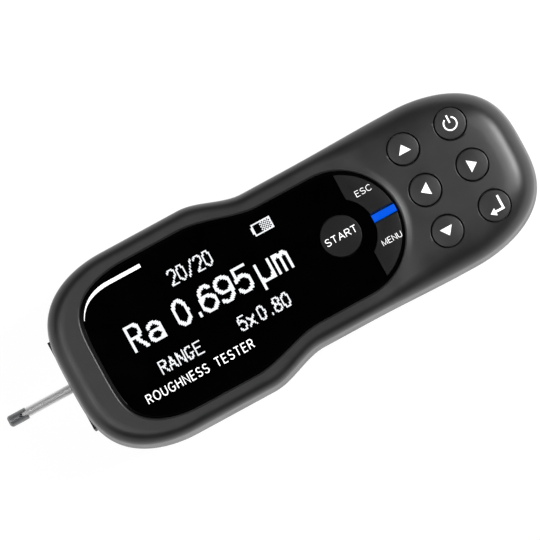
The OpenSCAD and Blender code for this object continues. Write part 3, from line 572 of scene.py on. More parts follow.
# Battery: a flat lithium cell in shrink film, with folded ends and a band of amber tape, stuck to the
# floor of the tub.
cell_low, cell_high = box_mm("battery")
cell_round = 1.4
fold_width, fold_depth = 0.9, 0.25
tape_from, tape_to = 8, 3
tape_thick = 0.05
tape_round = 1.35


def long_edges(bm):
    """Edges that run along the body for more than 4 mm."""
    return [e for e in bm.edges if abs((e.verts[0].co - e.verts[1].co).x) > 4]


cell = bmesh.new()
block(cell, cell_low, cell_high)
round_edges(cell, cell.edges[:], cell_round, 5)
ends = [f for f in cell.faces if abs(f.normal.x) > 0.99]
for end in ends:
    bmesh.ops.inset_region(cell, faces=[end], thickness=fold_width, depth=-fold_depth)
# Shrink film: tight blue plastic with soft wrinkles.
shrink_film = finish("blue_shrink_film", ("1d3f86", "27509c"), 0.3, grain=1.6, depth=0.04, drift=6)
make("battery_cell", cell, shrink_film, "battery_wrap", "housing", "battery")
band = bmesh.new()
block(
    band,
    (cell_high.x - tape_from, cell_low.y + tape_thick, cell_low.z + tape_thick),
    (cell_high.x - tape_to, cell_high.y - tape_thick, cell_high.z + tape_thick),
)
round_edges(band, long_edges(band), tape_round, 5)
# Polyimide tape: thin amber film, glossy.
amber_tape = finish("amber_tape", ("a8620f", "bd741a"), 0.22, grain=0.8, depth=0.01, drift=4)
make("battery_tape", band, amber_tape, "battery_wrap", "housing")

# Charge board and socket: a small circuit board on two bosses at the tail, with the charging socket, a
# folded and tinned shell round a tongue with five contacts.
# Solder mask on glass laminate: green, semi-gloss, with the weave just showing.
solder_mask = finish(
    "green_solder_mask", ("0d3b20", "15502c"), 0.3, grain=0.5, depth=0.008, drift=1.2, edge=0.1
)
dress(solder_mask, "charge_board")
sheet = 0.35
shell = bmesh.new()
block(shell, socket_low, socket_high)
mouth = bmesh.new()
block(mouth, socket_low + Vector((sheet, sheet, sheet)), socket_high + Vector((cut_past, -sheet, -sheet)))
for part, corner in ((shell, 0.9), (mouth, 0.6)):
    round_edges(part, long_edges(part), corner, 4)
shell = boolean(shell, mouth, "DIFFERENCE")
# Tinned sheet: bright and slightly streaky.
tinned = finish(
    "tinned_sheet", ("a7a9ab", "bfc1c2"), 0.26, grain=0.3, depth=0.004, drift=2, along=(0.2, 1, 1), edge=0.1,
    Metallic=1.0,
)
make("socket_shell", shell, tinned, "switch_metal", "housing", "usb_socket")
tongue_half = 2.2
tongue_back = 1.6
tongue_under, tongue_over = 0.2, 0.7
tongue_edge = 0.12
contact_half = 0.2
contact_pitch = 0.8
contact_front, contact_back = 0.5, 1.9
contact_under, contact_over = 0.28, 0.15
middle_z = ((socket_low + socket_high) / 2).z
tongue = bmesh.new()
block(
    tongue,
    (socket_low.x + sheet, -tongue_half, middle_z - tongue_under),
    (socket_high.x - tongue_back, tongue_half, middle_z + tongue_over),
)
round_edges(tongue, tongue.edges[:], tongue_edge, 2)
make("socket_tongue", tongue, filled_nylon, "frame_plastic", "housing")
contacts = bmesh.new()
for k in range(-2, 3):
    block(
        contacts,
        (socket_low.x + contact_front, k * contact_pitch - contact_half, middle_z - contact_under),
        (socket_high.x - contact_back, k * contact_pitch + contact_half, middle_z - contact_over),
    )
make("socket_contacts", contacts, brass, "brass", "housing")

# Upper half of the housing: the moulded lid with a sunken place for the window and a small rounded lip
# round it. Behind the window the top falls in a short hollow curve to the crowned deck of the round keys.
window = {
    "ends": (-67.7, 35.9),
    "caps": (21.5, 19.6),
    "powers": (4.3, 2.0),
    "halves": (25.2, 20.15, 20.15),
    "shoulder": (-27.0, -1.6),
}
start_x = window["ends"][1] - window["caps"][1]
window_end_r = window["caps"][1]
lip_width = 0.6
lip_depth = 0.6
lens_low, lens_high = box_mm("display_window")
ledge_z, lens_z = lens_low.z, lens_high.z
ceiling_z = ledge_z - wall
key_proud = 0.25
key_fall = rim_z - (box_mm("up_key")[1].z - key_proud)
fall_run, fall_least = 2.3, 1.5
fall_from, fall_full = start_x + 8, start_x + 19
lip_r = window_end_r + lip_width
crest_half = 20.7
crown_half = 12
crown_start, crown_run = tail_x - 31, 21.4
side_crown, tail_crown = 0.8, 0.7
edge_power = 0.75
rebate_in = 1.3
rebate_height = 1.6
LIP_STEPS = 8
DECK_STEPS = 26
DECK_BUNCHING = 1.6


def crown_at(x, y):
    """Fall of the crowned key deck towards its long edges and the tail."""
    side = max(0, abs(y) - crown_half) / (crest_half - crown_half)
    tail = max(0, x - crown_start) / crown_run
    return side_crown * side ** 2 * smooth(*grip, x) + tail_crown * tail ** 2


def top_at(x, y):
    """Height of the top: level round the window, hollow behind it, then crowned under the round keys."""
    r = math.hypot(x - start_x, y)
    reach = min(fall_run, max(fall_least, crest_half * r / max(abs(y), 1) - lip_r))
    t = min(1, max(0, (r - lip_r) / reach))
    return rim_z - crown_at(x, y) - key_fall * (1 - (1 - t) ** 2) * smooth(fall_from, fall_full, x)


def blend_at(x, front, side, grip_end, tail):
    """Value along the body that goes from the front over the side and the grip to the tail."""
    near = mix(front, side, smooth(front_x, front_x + body["caps"][0], x))
    return mix(mix(near, grip_end, smooth(*grip, x)), tail, tail_share(x))


rounds = [blend_at(x, front=5, side=3.6, grip_end=6, tail=9) for x in stations]
rises = [blend_at(x, front=5, side=5, grip_end=7, tail=10) for x in stations]
crest = [outline_point(inset(body, draft + r), i) for i, r in enumerate(rounds)]
foot = [outline_point(inset(body, draft), i) for i in range(HALF_STEPS + 1)]


def inward(angle):
    """Share of the edge's width that its curve has come in by at an angle."""
    return 1 - max(0, math.cos(angle)) ** edge_power


def top_ring(angle):
    """Ring of the rounded top edge, which goes on from the slope of the crown."""
    half = [outline_point(inset(body, draft + r * inward(angle)), i) for i, r in enumerate(rounds)]
    for p, rise, high, low in zip(half, rises, crest, foot):
        rest = rise - crown_at(low.x, low.y) + crown_at(high.x, high.y)
        p.z = top_at(p.x, p.y) - rest * (1 - math.sin(angle))
    return whole(half)


def inner_ring(angle):
    """Ring of the inside of the lid, under its ceiling."""
    d = [wall + draft + (r - wall) * inward(angle) for r in rounds]
    z = [top_at(p.x, p.y) - rise + (rise - wall) * math.sin(angle) for p, rise in zip(crest, rises)]
    return ring(body, d, [min(ceiling_z, v) for v in z])


# Each point of the crest is joined to the nearest point of the window's edge, evened out along the edge.
FINER = 4
EVENINGS = 6
window_edge = [outline_point(window, k / FINER) for k in range(FINER * HALF_STEPS + 1)]
beside = [min(range(len(window_edge)), key=lambda k: (window_edge[k] - p).length) / FINER for p in crest]
for _ in range(EVENINGS):
    beside = [beside[0]] + [sum(beside[k - 1:k + 2]) / 3 for k in range(1, HALF_STEPS)] + [beside[-1]]


def lip_ring(out, drop, level=None):
    """Ring round the window, each point beside its point of the crest."""
    half = [outline_point(inset(window, -out), k) for k in beside]
    for p in half:
        p.z = top_at(p.x, p.y) - drop if level is None else level
    return whole(half)


def deck_ring(t):
    """Ring between the lip and the crest."""
    points = [mix(near, far, t) for near, far in zip(lip_ring(lip_width, 0), whole(crest))]
    for p in points:
        p.z = top_at(p.x, p.y)
    return points


upper_rings = [inner_ring(a) for a in reversed(quarter())]
upper_rings += [
    ring(body, wall, parting_z + rebate_height),
    ring(body, rebate_in, parting_z + rebate_height),
    ring(body, rebate_in, parting_z),
    ring(body, groove, parting_z),
    ring(body, 0, parting_z + groove),
]
upper_rings += [top_ring(a) for a in quarter()]
upper_rings += [deck_ring((k / DECK_STEPS) ** DECK_BUNCHING) for k in range(DECK_STEPS - 1, 0, -1)]
for a in quarter(LIP_STEPS):
    upper_rings.append(lip_ring(lip_width * (1 - math.sin(a)), lip_depth * (1 - math.cos(a))))
upper_rings.append(lip_ring(0, 0, ledge_z))

round_names = ["up", "left", "down", "power", "right", "enter"]
flange_width = 1.05
key_gap = 0.4
rim_round = 0.2
under_lid, over_lid = 30, 50


def key_place(name):
    """Middle of a key, its radius above the flange and the height of its top."""
    low, high = box_mm(name + "_key")
    return (low + high) / 2, (high.x - low.x) / 2 - flange_width, high.z


openings = bmesh.new()
for name in round_names:
    middle, r, top = key_place(name)
    hole_r = r + key_gap
    level = top_at(middle.x, middle.y)
    flare = arc(hole_r + rim_round, level - rim_round, rim_round, 180, 90)
    sides = [(0, under_lid), (hole_r, under_lid)] + flare + [(hole_r + rim_round, over_lid), (0, over_lid)]
    turned(openings, (middle.x, middle.y, 0), UP, sides)
_, start_r, start_top = key_place("start")
drum(openings, start_x, 0, under_lid, over_lid, start_r + key_gap)
upper = boolean(loft(upper_rings), openings, "DIFFERENCE")
panel_low, panel_high = box_mm("oled_panel")
panel_gap = 0.5
panel_over = 44.5
panel_hole = bmesh.new()
block(
    panel_hole,
    (panel_low.x - panel_gap, panel_low.y - panel_gap, under_lid),
    (panel_high.x + panel_gap, panel_high.y + panel_gap, panel_over),
)
upper = boolean(upper, panel_hole, "DIFFERENCE")

crescent_inner, crescent_outer, crescent_edge = 11.15, 18.75, 6.6
CRESCENT_STEPS = 48


def sector(grow, near=None):
    """Outline of the crescent about the start key, or of its side past near, grown on every side."""
    inner, outer, edge = crescent_inner - grow, crescent_outer + grow, crescent_edge - grow
    low = math.asin(near / outer) if near else -math.acos(edge / outer)
    low_in = math.asin(near / inner) if near else -math.acos(edge / inner)
    high, high_in = math.acos(edge / outer), math.acos(edge / inner)
    shares = [k / CRESCENT_STEPS for k in range(CRESCENT_STEPS + 1)]
    out = [mix(low, high, t) for t in shares]
    back = [mix(high_in, low_in, t) for t in shares]
    points = [(outer * math.cos(a), outer * math.sin(a)) for a in out]
    points += [(inner * math.cos(a), inner * math.sin(a)) for a in back]
    return [(start_x + x, y) for x, y in points]


def plate(bm, points, z0, z1):
    """Upright prism over an outline. Gives back its top face."""
    face = bm.faces.new([bm.verts.new((x, y, z0)) for x, y in points])
    lifted = bmesh.ops.extrude_face_region(bm, geom=[face])
    moved = [g for g in lifted["geom"] if isinstance(g, bmesh.types.BMVert)]
    bmesh.ops.translate(bm, verts=moved, vec=(0, 0, z1 - z0))
    bmesh.ops.recalc_face_normals(bm, faces=bm.faces)
    return [g for g in lifted["geom"] if isinstance(g, bmesh.types.BMFace)][0]


crescent_gap = 0.25
crescent_hole = bmesh.new()
plate(crescent_hole, sector(crescent_gap), under_lid, over_lid)
upper = boolean(upper, crescent_hole, "DIFFERENCE")
make("upper_shell_moulding", upper, satin_plastic, "housing_plastic", "housing", "upper_shell")

# Display window: a hard-coated acrylic lens, printed black from behind and bonded on the ledge. Its
# edge is bevelled all round, and it is pierced for the start key and for the crescent of two keys.
lens_gap = 0.15
lens_bevel = 0.8
lens_rings = [ring(window, lens_gap, ledge_z), ring(window, lens_gap, lens_z - lens_bevel / 2)]
lens_rings += [ring(window, lens_gap + lens_bevel * t, lens_z - lens_bevel / 2 * (1 - t)) for t in (0.9, 1.0)]
under_lens = 40
pierced = bmesh.new()
drum(pierced, start_x, 0, under_lens, over_lid, start_r + crescent_gap)
plate(pierced, sector(crescent_gap), under_lens, over_lid)
# Back-printed acrylic: deep black under a mirror-smooth hard coat.
gloss_black = finish(
    "back_printed_acrylic", ("010101", "020202"), 0.05, grain=30, depth=0.002, spread=0.01, IOR=1.49
)
lens = boolean(loft(lens_rings), pierced, "DIFFERENCE")
make("lens", lens, gloss_black, "lens", "housing", "display_window", sharp=15)

# Print on the lens: white screen print, a thin curved line at the front corner and the kind of
# instrument along the near edge. Every sign is drawn by a pen along a few strokes.
def oval(x, y, rx, ry, start=0, end=360):
    """Stretch of an oval, angles in degrees."""
    steps = max(6, round(abs(end - start) / 12))
    angles = [math.radians(mix(start, end, k / steps)) for k in range(steps + 1)]
    return [(x + rx * math.cos(a), y + ry * math.sin(a)) for a in angles]


# A sign has its width, as a share of its height, and the strokes that draw it in a box of one by one.
stem = [(0, 0), (0, 1)]
leg = [(0.5, 0.5), (1, 0)]
bowl = oval(0.5, 0.24, 0.5, 0.24, 180, 360)
six = oval(0.58, 0.5, 0.54, 0.5, 50, 160) + oval(0.5, 0.31, 0.5, 0.31, 180, 540)
arches = [oval(x, 0.5, 0.25, 0.22, 180, 0) + [(x + 0.25, 0)] for x in (0.25, 0.75)]
SIGNS = {
    " ": (0.5, []),
    ".": (0.05, [[(0.3, 0), (0.3, 0.1)]]),
    "/": (0.42, [[(0, 0), (1, 1)]]),
    "0": (0.56, [oval(0.5, 0.5, 0.5, 0.5)]),
    "2": (0.56, [oval(0.5, 0.72, 0.48, 0.28, 165, -25) + [(0, 0), (1, 0)]]),
    "5": (0.56, [[(0.94, 1), (0.14, 1), (0.08, 0.54)] + oval(0.48, 0.33, 0.5, 0.33, 125, -150)]),
    "6": (0.56, [six]),
    "8": (0.56, [oval(0.5, 0.76, 0.42, 0.24), oval(0.5, 0.27, 0.5, 0.27)]),
    "9": (0.56, [[(1 - x, 1 - y) for x, y in six]]),
    "A": (0.88, [[(0, 0), (0.5, 1), (1, 0)], [(0.19, 0.35), (0.81, 0.35)]]),
    "C": (0.85, [oval(0.55, 0.5, 0.55, 0.5, 45, 315)]),
    "E": (0.64, [[(1, 1), (0, 1), (0, 0), (1, 0)], [(0, 0.53), (0.93, 0.53)]]),
    "G": (0.9, [oval(0.52, 0.5, 0.52, 0.5, 45, 318) + [(0.95, 0.45), (0.55, 0.45)]]),
    "H": (0.78, [stem, [(1, 0), (1, 1)], [(0, 0.53), (1, 0.53)]]),
    "M": (0.92, [[(0, 0), (0, 1), (0.5, 0.05), (1, 1), (1, 0)]]),
    "N": (0.8, [[(0, 0), (0, 1), (1, 0), (1, 1)]]),
    "O": (0.98, [oval(0.5, 0.5, 0.5, 0.5)]),
    "R": (0.74, [stem, [(0, 1)] + oval(0.6, 0.75, 0.36, 0.25, 90, -90) + [(0, 0.5)], leg]),
    "S": (0.72, [oval(0.5, 0.75, 0.45, 0.25, 25, 265) + oval(0.5, 0.25, 0.5, 0.25, 85, -155)]),
    "T": (0.78, [[(0, 1), (1, 1)], [(0.5, 1), (0.5, 0)]]),
    "U": (0.78, [[(0, 1)] + oval(0.5, 0.36, 0.5, 0.36, 180, 360) + [(1, 1)]]),
    "a": (0.5, [oval(0.5, 0.48, 0.46, 0.24, 155, 0) + [(0.96, 0)], oval(0.48, 0.21, 0.48, 0.21)]),
    "m": (0.86, [[(0, 0), (0, 0.72)]] + arches),
    "x": (0.46, [[(0, 0), (1, 0.7)], [(0, 0.7), (1, 0)]]),
    "µ": (0.56, [[(0, -0.24), (0, 0.72)], bowl + [(1, 0.72)], [(1, 0.3), (1, 0)]]),
}
print_lift = 0.012


def ribbon(bm, line, widths, z):
    """Flat strip along a line, with mitred corners."""
    ways = [(b - a).normalized() for a, b in zip(line, line[1:])]
    sides = []
    for k, p in enumerate(line):
        before, after = ways[max(0, k - 1)], ways[min(k, len(ways) - 1)]
        across = Vector((-(before + after).y, (before + after).x)).normalized()
        mitre = 1 / max(0.5, abs(across.dot(Vector((-after.y, after.x)))))
        offset = across * mitre * widths[k] / 2
        sides.append((bm.verts.new((*(p + offset), z)), bm.verts.new((*(p - offset), z))))
    for (a, b), (c, d) in zip(sides, sides[1:]):
        bm.faces.new((a, b, d, c))


def printed_words(bm, words, low, high, pen, z, gap=0.3):
    """A line of signs whose inked box runs from low to high, for a pen of that width."""
    total = sum(SIGNS[sign][0] for sign in words) + gap * (len(words) - 1)
    scale = (high[0] - low[0] - pen) / total
    tall = high[1] - low[1] - pen
    left, base = low[0] + pen / 2, low[1] + pen / 2
    at = 0
    for sign in words:
        width, lines = SIGNS[sign]
        for line in lines:
            points = [Vector((left + (at + x * width) * scale, base + y * tall)) for x, y in line]
            ribbon(bm, points, [pen] * len(line), z + print_lift)
        at += width + gap


printed = bmesh.new()
printed_words(printed, "ROUGHNESS TESTER", (-60.0, -17.4), (-22.9, -14.3), 0.35, lens_z, 0.42)
corner, turn, straight = Vector((-65.2, 14.7)), Vector((-62.0, 21.5)), Vector((-53.0, 21.5))
line_end = Vector((-42.1, 21.5))
thin, thick = 0.2, 1.2
LINE_STEPS = 30
line, widths = [], []
for k in range(LINE_STEPS + 1):
    t = k / LINE_STEPS
    line.append(corner * (1 - t) ** 2 + turn * 2 * t * (1 - t) + straight * t * t)
    widths.append(mix(thin, thick, smooth(0, 0.9, t)))
ribbon(printed, line + [line_end], widths + [thick], lens_z + print_lift)
# Screen ink: opaque white with a dry, faintly uneven film. Its slight emission is painted light, a glow that
# stands in for the studio light falling on print over black.
white_ink_painted_glow = finish(
    "white_screen_ink_painted_glow", ("eeeeee", "fafafa"), 0.5, grain=0.1, depth=0.003, drift=0.8,
    Emission_Color=linear("ffffff"), Emission_Strength=0.5,
)
make("lens_print", printed, white_ink_painted_glow, "lens", "housing")

# Start key: a moulded cap in the lens, nearly flush, with a rounded edge and the word printed on it. Its
# flange holds it under the lid, over a switch.
# Moulded ABS, near black and finer grained than the housing.
window_key = finish(
    "black_key_abs", ("080808", "0b0b0b"), 0.44, grain=0.2, depth=0.008, Specular_IOR_Level=0.23
)
flange_z = box_mm("start_key")[0].z
flange_height = 0.9
key_edge = 0.3
key_crown = 0.2
KEY_SEGMENTS = 128


def key_profile(r, bottom, top):
    """Half section of a round key: a flange below, a straight wall, a rounded edge and a low crown."""
    flange_top = bottom + flange_height
    low = [(0, bottom), (r + flange_width, bottom), (r + flange_width, flange_top), (r, flange_top)]
    shoulder_z = top - key_crown
    crown = [(t * (r - key_edge), top - key_crown * t * t) for t in (0.8, 0.6, 0.4, 0.2, 0)]
    return low + arc(r - key_edge, shoulder_z - key_edge, key_edge, 0, 90, 8) + crown


def key_word(name, words, low, high, pen, z):
    """The word on a key, as a print that moves with it."""
    bm = bmesh.new()
    printed_words(bm, words, low, high, pen, z)
    make(name + "_word", bm, white_ink_painted_glow, "window_keys", name)


start = bmesh.new()
turned(start, (start_x, 0, 0), UP, key_profile(start_r, flange_z, start_top), KEY_SEGMENTS)
make("start_cap", start, window_key, "window_keys", "start", "start_key")
key_word("start", "START", (10.95, -1.2), (21.7, 1.22), 0.27, start_top)

# ESC and MENU: two halves of a crescent round the start key, kept apart by the status light. Each is
# a moulded cap on a flange, with a rounded rim.
def rounded_plate(bm, points, z0, z1, edge):
    """Prism whose top rim is rounded."""
    top = plate(bm, points, z0, z1)
    round_edges(bm, list(top.edges), edge, 4, clamp_overlap=True)


crescent_low, crescent_high = box_mm("esc_key")
crescent_round = 0.28
light_half = 1.35
words = {"esc": ("ESC", (26.2, 8.0), (31.6, 10.0)), "menu": ("MENU", (26.3, -9.05), (32.96, -7.15))}
for side, name in ((1, "esc"), (-1, "menu")):
    caps = bmesh.new()
    outline = [(x, side * y) for x, y in sector(0, light_half + crescent_gap)]
    rounded_plate(caps, outline, crescent_low.z, crescent_high.z, crescent_round)
    wide = [(x, side * y) for x, y in sector(flange_width, light_half + crescent_gap)]
    plate(caps, wide, crescent_low.z, crescent_low.z + flange_height)
    make(name + "_cap", caps, window_key, "window_keys", name, name + "_key")
    word, low, high = words[name]
    key_word(name, word, low, high, 0.18, crescent_high.z)

# Status light: a light pipe of blue plastic between the crescent keys, lit from the board below. Its
# foot is glued to the lens.
light_low, light_high = box_mm("status_light")
light_gap = 0.3
light_round = 0.2
LIGHT_STEPS = 6
bar = bmesh.new()
outline = []
for radius, sign in ((crescent_outer + crescent_gap / 2, 1), (crescent_inner - crescent_gap / 2, -1)):
    reach = math.asin((light_half - light_gap) / radius)
    angles = [mix(-reach, reach, 0.5 + sign * (k / LIGHT_STEPS - 0.5)) for k in range(LIGHT_STEPS + 1)]
    outline += [(start_x + radius * math.cos(a), radius * math.sin(a)) for a in angles]
rounded_plate(bar, outline, light_low.z, light_high.z, light_round)
# Lit acrylic: an even blue glow under a smooth face.
blue_light = finish(
    "lit_blue_acrylic", ("020a20", "030c28"), 0.3, grain=0.4, depth=0.004, drift=3, Specular_IOR_Level=0.05,
    Emission_Color=linear("005cf0"), Emission_Strength=0.95,
)
make("light_pipe", bar, blue_light, "blue_light", "housing", "status_light")

# Round keys: six moulded caps in holes of the deck, each with a white printed symbol. A flange under the
# lid holds each one over its switch.
# Moulded ABS in the shade of the housing, with a finer grain.
round_key = finish("grey_key_abs", ("202020", "232323"), 0.37, grain=0.2, depth=0.006, spread=0.03)


def bar_quad(x0, y0, x1, y1):
    return [(x0, y0), (x1, y0), (x1, y1), (x0, y1)]


def arrow(heading):
    """Triangle that points along a heading in degrees."""
    turn = Matrix.Rotation(math.radians(heading), 2)
    return [[tuple(turn @ Vector(p)) for p in ((1.5, 0), (-1.25, 2.05), (-1.25, -2.05))]]


hook_point = [(-2.4, -1.85), (-0.6, -3.1), (-0.6, -0.6)]
sweep_r, sweep_pen = 2.05, 0.47
sweep_from, sweep_to = 122, 418
symbols = {
    "up": arrow(90),
    "left": arrow(180),
    "down": arrow(270),
    "right": arrow(0),
    "power": [bar_quad(-0.27, 0.25, 0.27, 2.8)],
    "enter": [bar_quad(1.7, -1.5, 2.4, 2.45), bar_quad(-0.6, -2.2, 2.4, -1.5), hook_point],
}
for name in round_names:
    middle, r, top = key_place(name)
    cap = bmesh.new()
    turned(cap, (middle.x, middle.y, 0), UP, key_profile(r, flange_z, top), KEY_SEGMENTS)
    make(name + "_cap", cap, round_key, "round_keys", name, name + "_key")
    symbol = bmesh.new()
    ink_z = top + print_lift
    for points in symbols[name]:
        symbol.faces.new([symbol.verts.new((middle.x + x, middle.y + y, ink_z)) for x, y in points])
    if name == "power":
        sweep = [Vector(p) for p in oval(middle.x, middle.y, sweep_r, sweep_r, sweep_from, sweep_to)]
        ribbon(symbol, sweep, [sweep_pen] * len(sweep), ink_z)
    make(name + "_symbol", symbol, white_ink_painted_glow, "round_keys", name)

# Display: a graphic panel of glass in a white clip-on holder under the window. Its lit dots shine through
# the black lens, so they are laid on the face of the lens here.
# Moulded white ABS, smooth.
white_plastic = finish("white_abs", ("dcdcd8", "e6e6e2"), 0.45, grain=0.3, depth=0.006, edge=0.2)
dress(white_plastic, "display_holder")
# Panel glass over an unlit emitter: near black with a violet cast.
panel_glass = finish(
    "dark_panel_glass", ("08080c", "0c0a12"), 0.06, grain=20, depth=0.002, spread=0.01, edge=0.1
)
dress(panel_glass, "oled_panel")
dot_pitch = 0.43
dot_half = 0.49
STROKE_STEPS = 40


def lit_words(dots, words, left, base, wide, tall, step, pen):
    """Lights the dots under a square pen, for signs of wide by tall dots that stand a step apart."""
    for k, sign in enumerate(words):
        for line in SIGNS[sign][1]:
            for a, b in zip(line, line[1:]):
                for step_on in range(STROKE_STEPS + 1):
                    t = step_on / STROKE_STEPS
                    x, y = mix(a[0], b[0], t), mix(a[1], b[1], t)
                    column = round(left / dot_pitch + k * step + x * (wide - pen))
                    row = round(base / dot_pitch + y * (tall - pen))
                    dots.update((column + i, row + j) for i in range(pen) for j in range(pen))


# Each word has its left edge and its base in millimetres, then the size of its signs, their step and the
# pen in dots.
readings = [
    ("20/20", -36.1, 11.2, 6, 12, 7, 1),
    ("Ra", -56.1, -1.4, 12, 20, 14.6, 2),
    ("0.", -40.2, -1.4, 12, 20, 13, 2),
    ("695", -31.4, -1.4, 13, 20, 14.3, 2),
    ("µm", -11.7, -1.4, 12, 20, 14, 2),
    ("RANGE", -51.7, -11.1, 6, 10, 7, 1),
    ("5x", -24.1, -11.2, 6, 11, 7, 1),
    ("0.", -17.4, -11.2, 6, 11, 7.5, 1),
    ("80", -12.0, -11.2, 6, 11, 7, 1),
]
dots = set()
for reading in readings:
    lit_words(dots, *reading)
# The sign for the charge: a frame with a chequered half and a pole.
for column in range(-15, 0):
    for row in range(29, 38):
        if column in (-15, -1) or row in (29, 37) or column > -10 and (column + row) % 2 == 0:
            dots.add((column, row))
dots.update((-16, row) for row in range(31, 36))
readout = bmesh.new()
for column, row in sorted(dots):
    place = Matrix.Translation((column * dot_pitch, row * dot_pitch, lens_z + print_lift))
    bmesh.ops.create_grid(readout, x_segments=1, y_segments=1, size=dot_pitch * dot_half, matrix=place)
# Lit emitter dots: an even cool white that needs no lamp.
lit_dots = finish(
    "lit_white_dots", ("101010", "141414"), 0.3, grain=0.2, depth=0.001,
    Emission_Color=linear("f4f7fa"), Emission_Strength=1.1,
)
make("readout_dots", readout, lit_dots, "display", "housing")

# Main board: the circuit board under the lid, of glass laminate with a green mask. Small screws hold it
# to bosses, and one tinned dome switch stands below each key.
dress(solder_mask, "main_board")
dress(tinned, "key_switches")
dress(plated_steel, "board_screws")

# Screws of the housing: four thread-forming screws with round heads and a cross recess, driven from below
# through the pillars into the lid.
screws = bmesh.new()
recesses = bmesh.new()
head_top = screw_low.z + head_height
head_round = 0.9
shank_r = 1.05
root_r = shank_r - 0.25
ridge_pitch = 0.9
ridge_half = 0.35
plain_shank, plain_end = 2, 3
recess_depth = 1.1
point_r = 0.4
ridges = []
for k in range(int((screw_high.z - head_top - plain_end) / ridge_pitch)):
    z = head_top + plain_shank + k * ridge_pitch
    ridges += [(root_r, z), (shank_r, z + ridge_half), (root_r, z + 2 * ridge_half)]
quarters = ((1, 0), (0, 1), (-1, 0), (0, -1))
tips = ((1.4, -0.3), (1.4, 0.3), (0.3, 0.3))
for x, y in pillars:
    cap = [(0, screw_low.z), (1.4, screw_low.z)]
    cap += arc(head_r - head_round, screw_low.z + head_round, head_round, -90, 0)
    point = [(point_r, screw_high.z), (0, screw_high.z)]
    turned(screws, (x, y, 0), UP, cap + [(head_r, head_top), (root_r, head_top)] + ridges + point, 48)
    cross = [(x + (i * wing - j * web), y + (j * wing + i * web)) for i, j in quarters for wing, web in tips]
    plate(recesses, cross, screw_low.z - 1, screw_low.z + recess_depth)
screws = boolean(screws, recesses, "DIFFERENCE")
make("housing_screws", screws, plated_steel, "screw_steel", "housing", "shell_screws")

# Camera: straight down on the top, leaning a little towards the near side, with the instrument turned
# as in the photograph.
aim = Vector((-7.8, 1.25, 45.0)) * MM
distance = 6.0
frame_width = 165.4 * MM
turn = math.radians(28.55)
lean = math.radians(2.3)
back = Vector((0, -math.sin(lean), math.cos(lean)))
right = Vector((math.cos(turn), -math.sin(turn), 0))
right = (right - back * right.dot(back)).normalized()
up = back.cross(right)
lens_data = bpy.data.cameras.new("camera")
lens_data.angle = 2 * math.atan(frame_width / 2 / distance)
lens_data.clip_start = 0.01
camera = bpy.data.objects.new("camera", lens_data)
facing = Matrix((right, up, back)).transposed().to_4x4()
camera.matrix_world = Matrix.Translation(aim + back * distance) @ facing
bpy.context.collection.objects.link(camera)
scene = bpy.context.scene
scene.camera = camera

# Floor: a white table. The camera and mirrors see it as white paper, and a tenth of it stays a lit
# surface that keeps the shadow of the instrument. It has an upper side only, so the feet can be seen.
floor_half = 3
floor_mesh = bmesh.new()
bmesh.ops.create_grid(floor_mesh, x_segments=1, y_segments=1, size=floor_half)
mesh = bpy.data.meshes.new("floor")
floor_mesh.to_mesh(mesh)
floor_mesh.free()
floor = bpy.data.objects.new("floor", mesh)
bpy.context.collection.objects.link(floor)
# Coated board: an even white. Its mirror image is whiter by the front and the far side than by the tail
# and the near side.
paper_share = 0.9
table = bpy.data.materials.new("white_table")
table.use_nodes = True
tree = table.node_tree
seen = add(tree, "LightPath")
direct = add(
    tree, "Math", {0: (seen, "Is Camera Ray"), 1: (seen, "Is Transmission Ray")}, operation="MAXIMUM"
)
direct = add(tree, "Math", {0: (direct, "Value"), 1: paper_share}, operation="MULTIPLY")
place = add(tree, "TexCoord")
away = add(tree, "VectorMath", {0: (place, "Object"), 1: (0.6, -0.8, 0)}, operation="DOT_PRODUCT")
span = {"From Min": -0.08, "From Max": 0.08, "To Min": 0.95, "To Max": 0.35}
fall = add(tree, "MapRange", {"Value": (away, "Value"), **span})
glossy = add(tree, "Math", {0: (seen, "Is Glossy Ray"), 1: (fall, "Result")}, operation="MULTIPLY")
share = add(tree, "Math", {0: (direct, "Value"), 1: (glossy, "Value")}, operation="MAXIMUM")
matt = add(tree, "BsdfDiffuse", {"Color": linear("ffffff")})
white = add(tree, "Emission", {"Color": linear("ffffff"), "Strength": 1.06})
blend = add(tree, "MixShader", {0: (share, "Value"), 1: (matt, "BSDF"), 2: (white, "Emission")})
under = add(tree, "NewGeometry")
clear = add(tree, "BsdfTransparent")
blend = add(tree, "MixShader", {0: (under, "Backfacing"), 1: (blend, "Shader"), 2: (clear, "BSDF")})
tree.links.new(blend.outputs["Shader"], tree.nodes["Material Output"].inputs["Surface"])
mesh.materials.append(table)

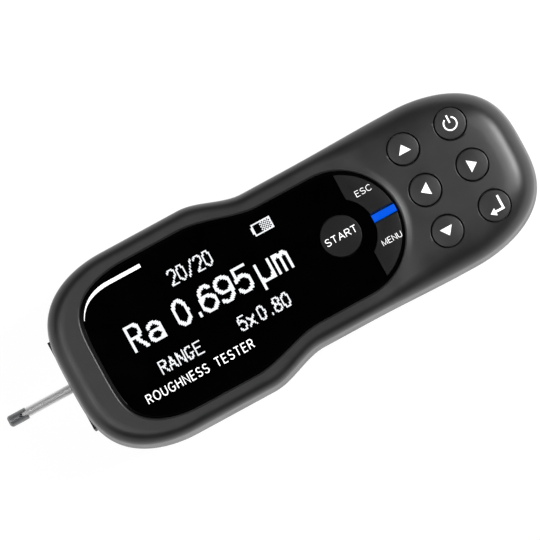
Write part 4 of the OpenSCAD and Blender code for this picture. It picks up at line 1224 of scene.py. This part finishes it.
# Room: white round the sides and dark above, brightest before the front and darkest behind the tail, so
# that the lens stays black and the edges of the housing are drawn in light.
world = bpy.data.worlds.new("room")
scene.world = world
world.use_nodes = True
tree = world.node_tree
place = add(tree, "TexCoord")
way = add(tree, "SeparateXYZ", {"Vector": (place, "Generated")})
span = {"From Min": 0.08, "From Max": 0.5, "To Min": 0.65, "To Max": 0.0}
walls = add(tree, "MapRange", {"Value": (way, "Z"), **span})
span = {"From Min": -0.9, "From Max": 0.7, "To Min": 2.0, "To Max": 0.1}
shade = add(tree, "MapRange", {"Value": (way, "X"), **span})
room = add(tree, "Math", {0: (walls, "Result"), 1: (shade, "Result")}, operation="MULTIPLY")
seen = add(tree, "LightPath")
direct = add(
    tree, "Math", {0: (seen, "Is Camera Ray"), 1: (seen, "Is Transmission Ray")}, operation="MAXIMUM"
)
strength = add(tree, "Math", {0: (room, "Value"), 1: (direct, "Value")}, operation="MAXIMUM")
background = tree.nodes["Background"]
background.inputs["Color"].default_value = linear("ffffff")
tree.links.new(strength.outputs["Value"], background.inputs["Strength"])


# Lamps: four soft boxes in line with the instrument, a lower and a higher one over the tail and over the
# front.
def softbox(name, azimuth, elevation, length, width, watts, away=0.9):
    """Rectangular area light that faces the instrument from a direction in degrees."""
    data = bpy.data.lights.new(name, "AREA")
    data.shape = "RECTANGLE"
    data.size = width
    data.size_y = length
    data.energy = watts
    lamp = bpy.data.objects.new(name, data)
    a, e = math.radians(azimuth), math.radians(elevation)
    way = Vector((math.cos(a) * math.cos(e), math.sin(a) * math.cos(e), math.sin(e)))
    side = Vector((-math.sin(a), math.cos(a), 0))
    facing = Matrix((side, way.cross(side), way)).transposed().to_4x4()
    lamp.matrix_world = Matrix.Translation(way * away) @ facing
    bpy.context.collection.objects.link(lamp)


softbox("tail_light", 0, 36, 0.3, 0.4, 7.0)
softbox("upper_light", 0, 58, 0.5, 0.22, 3.2)
softbox("front_light", 180, 50, 0.9, 0.35, 1.8)
softbox("crest_light", 180, 71, 0.35, 0.4, 1.1)

# Colours are shown as they are written.
scene.view_settings.view_transform = "Standard"
